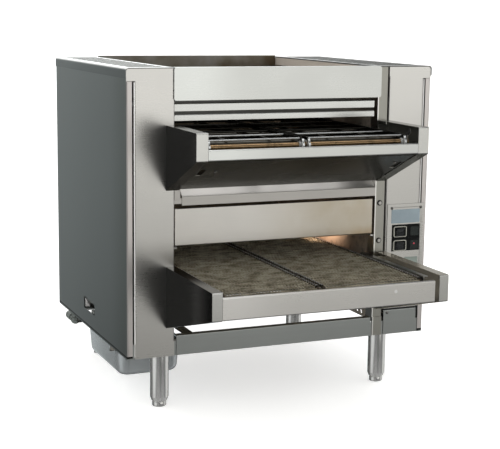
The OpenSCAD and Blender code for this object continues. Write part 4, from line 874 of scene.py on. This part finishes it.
# studio: a floor in metres, lobes of light in degrees, and two lamps
backdrop = dict(colour=(0.86, 0.86, 0.85), rough=0.9, glow=0.55, hub=0.001, reach=9, bend=3, bendSteps=13,
                top=14, sides=96)
studio = dict(ambient=(0.008, 0.0085, 0.0085), lobes=[
    dict(name="key", turn=22, rise=2, squeeze=1.5, inner=9, outer=32, light=(1.22, 1.21, 1.17)),
    dict(name="leftFill", turn=-80, rise=-6, squeeze=1.0, inner=9, outer=38, light=(0.62, 0.63, 0.63)),
    dict(name="rightFill", turn=92, rise=0, squeeze=1.0, inner=15, outer=46, light=(0.55, 0.55, 0.54)),
    dict(name="rearGlow", turn=171, rise=-4, squeeze=1.0, inner=6, outer=30, light=(1.15, 1.24, 1.24)),
    dict(name="rearTop", turn=172, rise=14, squeeze=1.3, inner=9, outer=30, light=(1.02, 1.02, 1.01)),
    dict(name="top", turn=0, rise=90, squeeze=1.0, inner=25, outer=75, light=(0.30, 0.30, 0.30)),
    dict(name="keyLeft", turn=-32, rise=-4, squeeze=1.2, inner=9, outer=30, light=(0.10, 0.10, 0.10)),
    dict(name="lowFrontLeft", turn=-30, rise=-48, squeeze=1.0, inner=10, outer=30, light=(0.20, 0.20, 0.20)),
    dict(name="lowFrontRight", turn=30, rise=-48, squeeze=1.0, inner=10, outer=30, light=(0.20, 0.20, 0.20)),
    dict(name="lowLeft", turn=-95, rise=-48, squeeze=1.0, inner=10, outer=30, light=(0.25, 0.25, 0.25)),
    dict(name="lowRight", turn=95, rise=-48, squeeze=1.0, inner=10, outer=30, light=(0.25, 0.25, 0.25)),
])
lamps = [
    dict(name="topSoftbox", place=(0.2, -0.4, 3.2), target=(0, 0, 0.5), size=(2.4, 2.4), power=28),
    dict(name="insideGlow", place=(0.20, 0.13, 0.417), target=(0.285, 0.13, 0.405), size=(0.10, 0.02),
         power=0.12, colour=(1.0, 0.72, 0.53), spread=115),
]


def lobeAxis(lobe):
    # turn is measured from the front towards the right, rise from the floor upwards
    a, e = math.radians(lobe["turn"]), math.radians(lobe["rise"])
    return np.array([math.sin(a) * math.cos(e), -math.cos(a) * math.cos(e), math.sin(e)])


def studioWorld(s):
    # soft round patches of light at fixed directions on a nearly black surround
    world = bpy.data.worlds.new("studio")
    bpy.context.scene.world = world
    world.use_nodes = True
    tree = world.node_tree
    coords = tree.nodes.new("ShaderNodeTexCoord")
    total = None
    for lobe in s["lobes"]:
        stretch = tree.nodes.new("ShaderNodeVectorMath")
        stretch.operation = "MULTIPLY"
        stretch.inputs[1].default_value = (1, 1, lobe["squeeze"])
        unit = tree.nodes.new("ShaderNodeVectorMath")
        unit.operation = "NORMALIZE"
        near = tree.nodes.new("ShaderNodeVectorMath")
        near.operation = "DOT_PRODUCT"
        towards = lobeAxis(lobe) * (1, 1, lobe["squeeze"])
        near.inputs[1].default_value = towards / np.linalg.norm(towards)
        tree.links.new(coords.outputs["Generated"], stretch.inputs[0])
        tree.links.new(stretch.outputs[0], unit.inputs[0])
        tree.links.new(unit.outputs[0], near.inputs[0])
        edge = [math.cos(math.radians(lobe[k])) for k in ("outer", "inner")]
        amount = ranged(tree, near.outputs["Value"], 0, 1, *edge, smooth=True)
        patch = mixed(tree, amount, (0, 0, 0), lobe["light"])
        total = mixed(tree, 1.0, total or s["ambient"], patch, "ADD")
    tree.links.new(total, tree.nodes["Background"].inputs[0])


def studioFloor(s):
    # a round pale floor that curves up into a wall far behind everything
    t = np.linspace(0, math.pi / 2, s["bendSteps"])
    reach, r, sides = s["reach"], s["bend"], s["sides"]
    curve = np.stack([reach + r * np.sin(t), r - r * np.cos(t)], -1)
    profile = np.concatenate([[[s["hub"], 0]], curve, [[reach + r, s["top"]]]])
    a = np.arange(sides) * 2 * np.pi / sides
    heights = np.repeat(profile[:, 1:], sides, 1)
    points = np.stack([profile[:, :1] * np.cos(a), profile[:, :1] * np.sin(a), heights], -1)
    faces = gridFaces(len(profile), sides, closeCols=True)
    mesh = bpy.data.meshes.new("studioFloor")
    mesh.from_pydata(points.reshape(-1, 3).tolist(), [], faces.tolist())
    mesh.polygons.foreach_set("use_smooth", np.ones(len(mesh.polygons), bool))
    mat, tree, bsdf = shaderOf("paleFloor", s["colour"], 0.0, s["rough"])
    bsdf.inputs["Emission Color"].default_value = (1, 1, 1, 1)
    bsdf.inputs["Emission Strength"].default_value = s["glow"]
    # clear from below, so that the underside can be looked at
    below = tree.nodes.new("ShaderNodeNewGeometry")
    clear = tree.nodes.new("ShaderNodeBsdfTransparent")
    either = tree.nodes.new("ShaderNodeMixShader")
    tree.links.new(below.outputs["Backfacing"], either.inputs[0])
    tree.links.new(bsdf.outputs[0], either.inputs[1])
    tree.links.new(clear.outputs[0], either.inputs[2])
    tree.links.new(either.outputs[0], tree.nodes["Material Output"].inputs[0])
    mesh.materials.append(mat)
    ob = bpy.data.objects.new("studioFloor", mesh)
    bpy.context.scene.collection.objects.link(ob)
    ob.visible_glossy = False


def softLight(name, place, target, size, power, colour=(1, 1, 1), spread=180):
    # a rectangular lamp that faces its target and isn't seen itself
    data = bpy.data.lights.new(name, "AREA")
    data.shape = "RECTANGLE"
    data.size, data.size_y = size
    data.energy = power
    data.color = colour
    data.spread = math.radians(spread)
    ob = bpy.data.objects.new(name, data)
    bpy.context.scene.collection.objects.link(ob)
    away = np.array(place, float) - np.array(target, float)
    away /= np.linalg.norm(away)
    right = np.cross((0, 0, 1), away)
    right /= np.linalg.norm(right)
    pose = np.eye(4)
    pose[:3, :3] = np.array([right, np.cross(away, right), away]).T
    pose[:3, 3] = place
    ob.matrix_world = Matrix(pose.tolist())
    ob.visible_camera = False


studioFloor(backdrop)
studioWorld(studio)
for lamp in lamps:
    softLight(**lamp)
bpy.context.scene.view_settings.view_transform = "Standard"
print("studio lit")
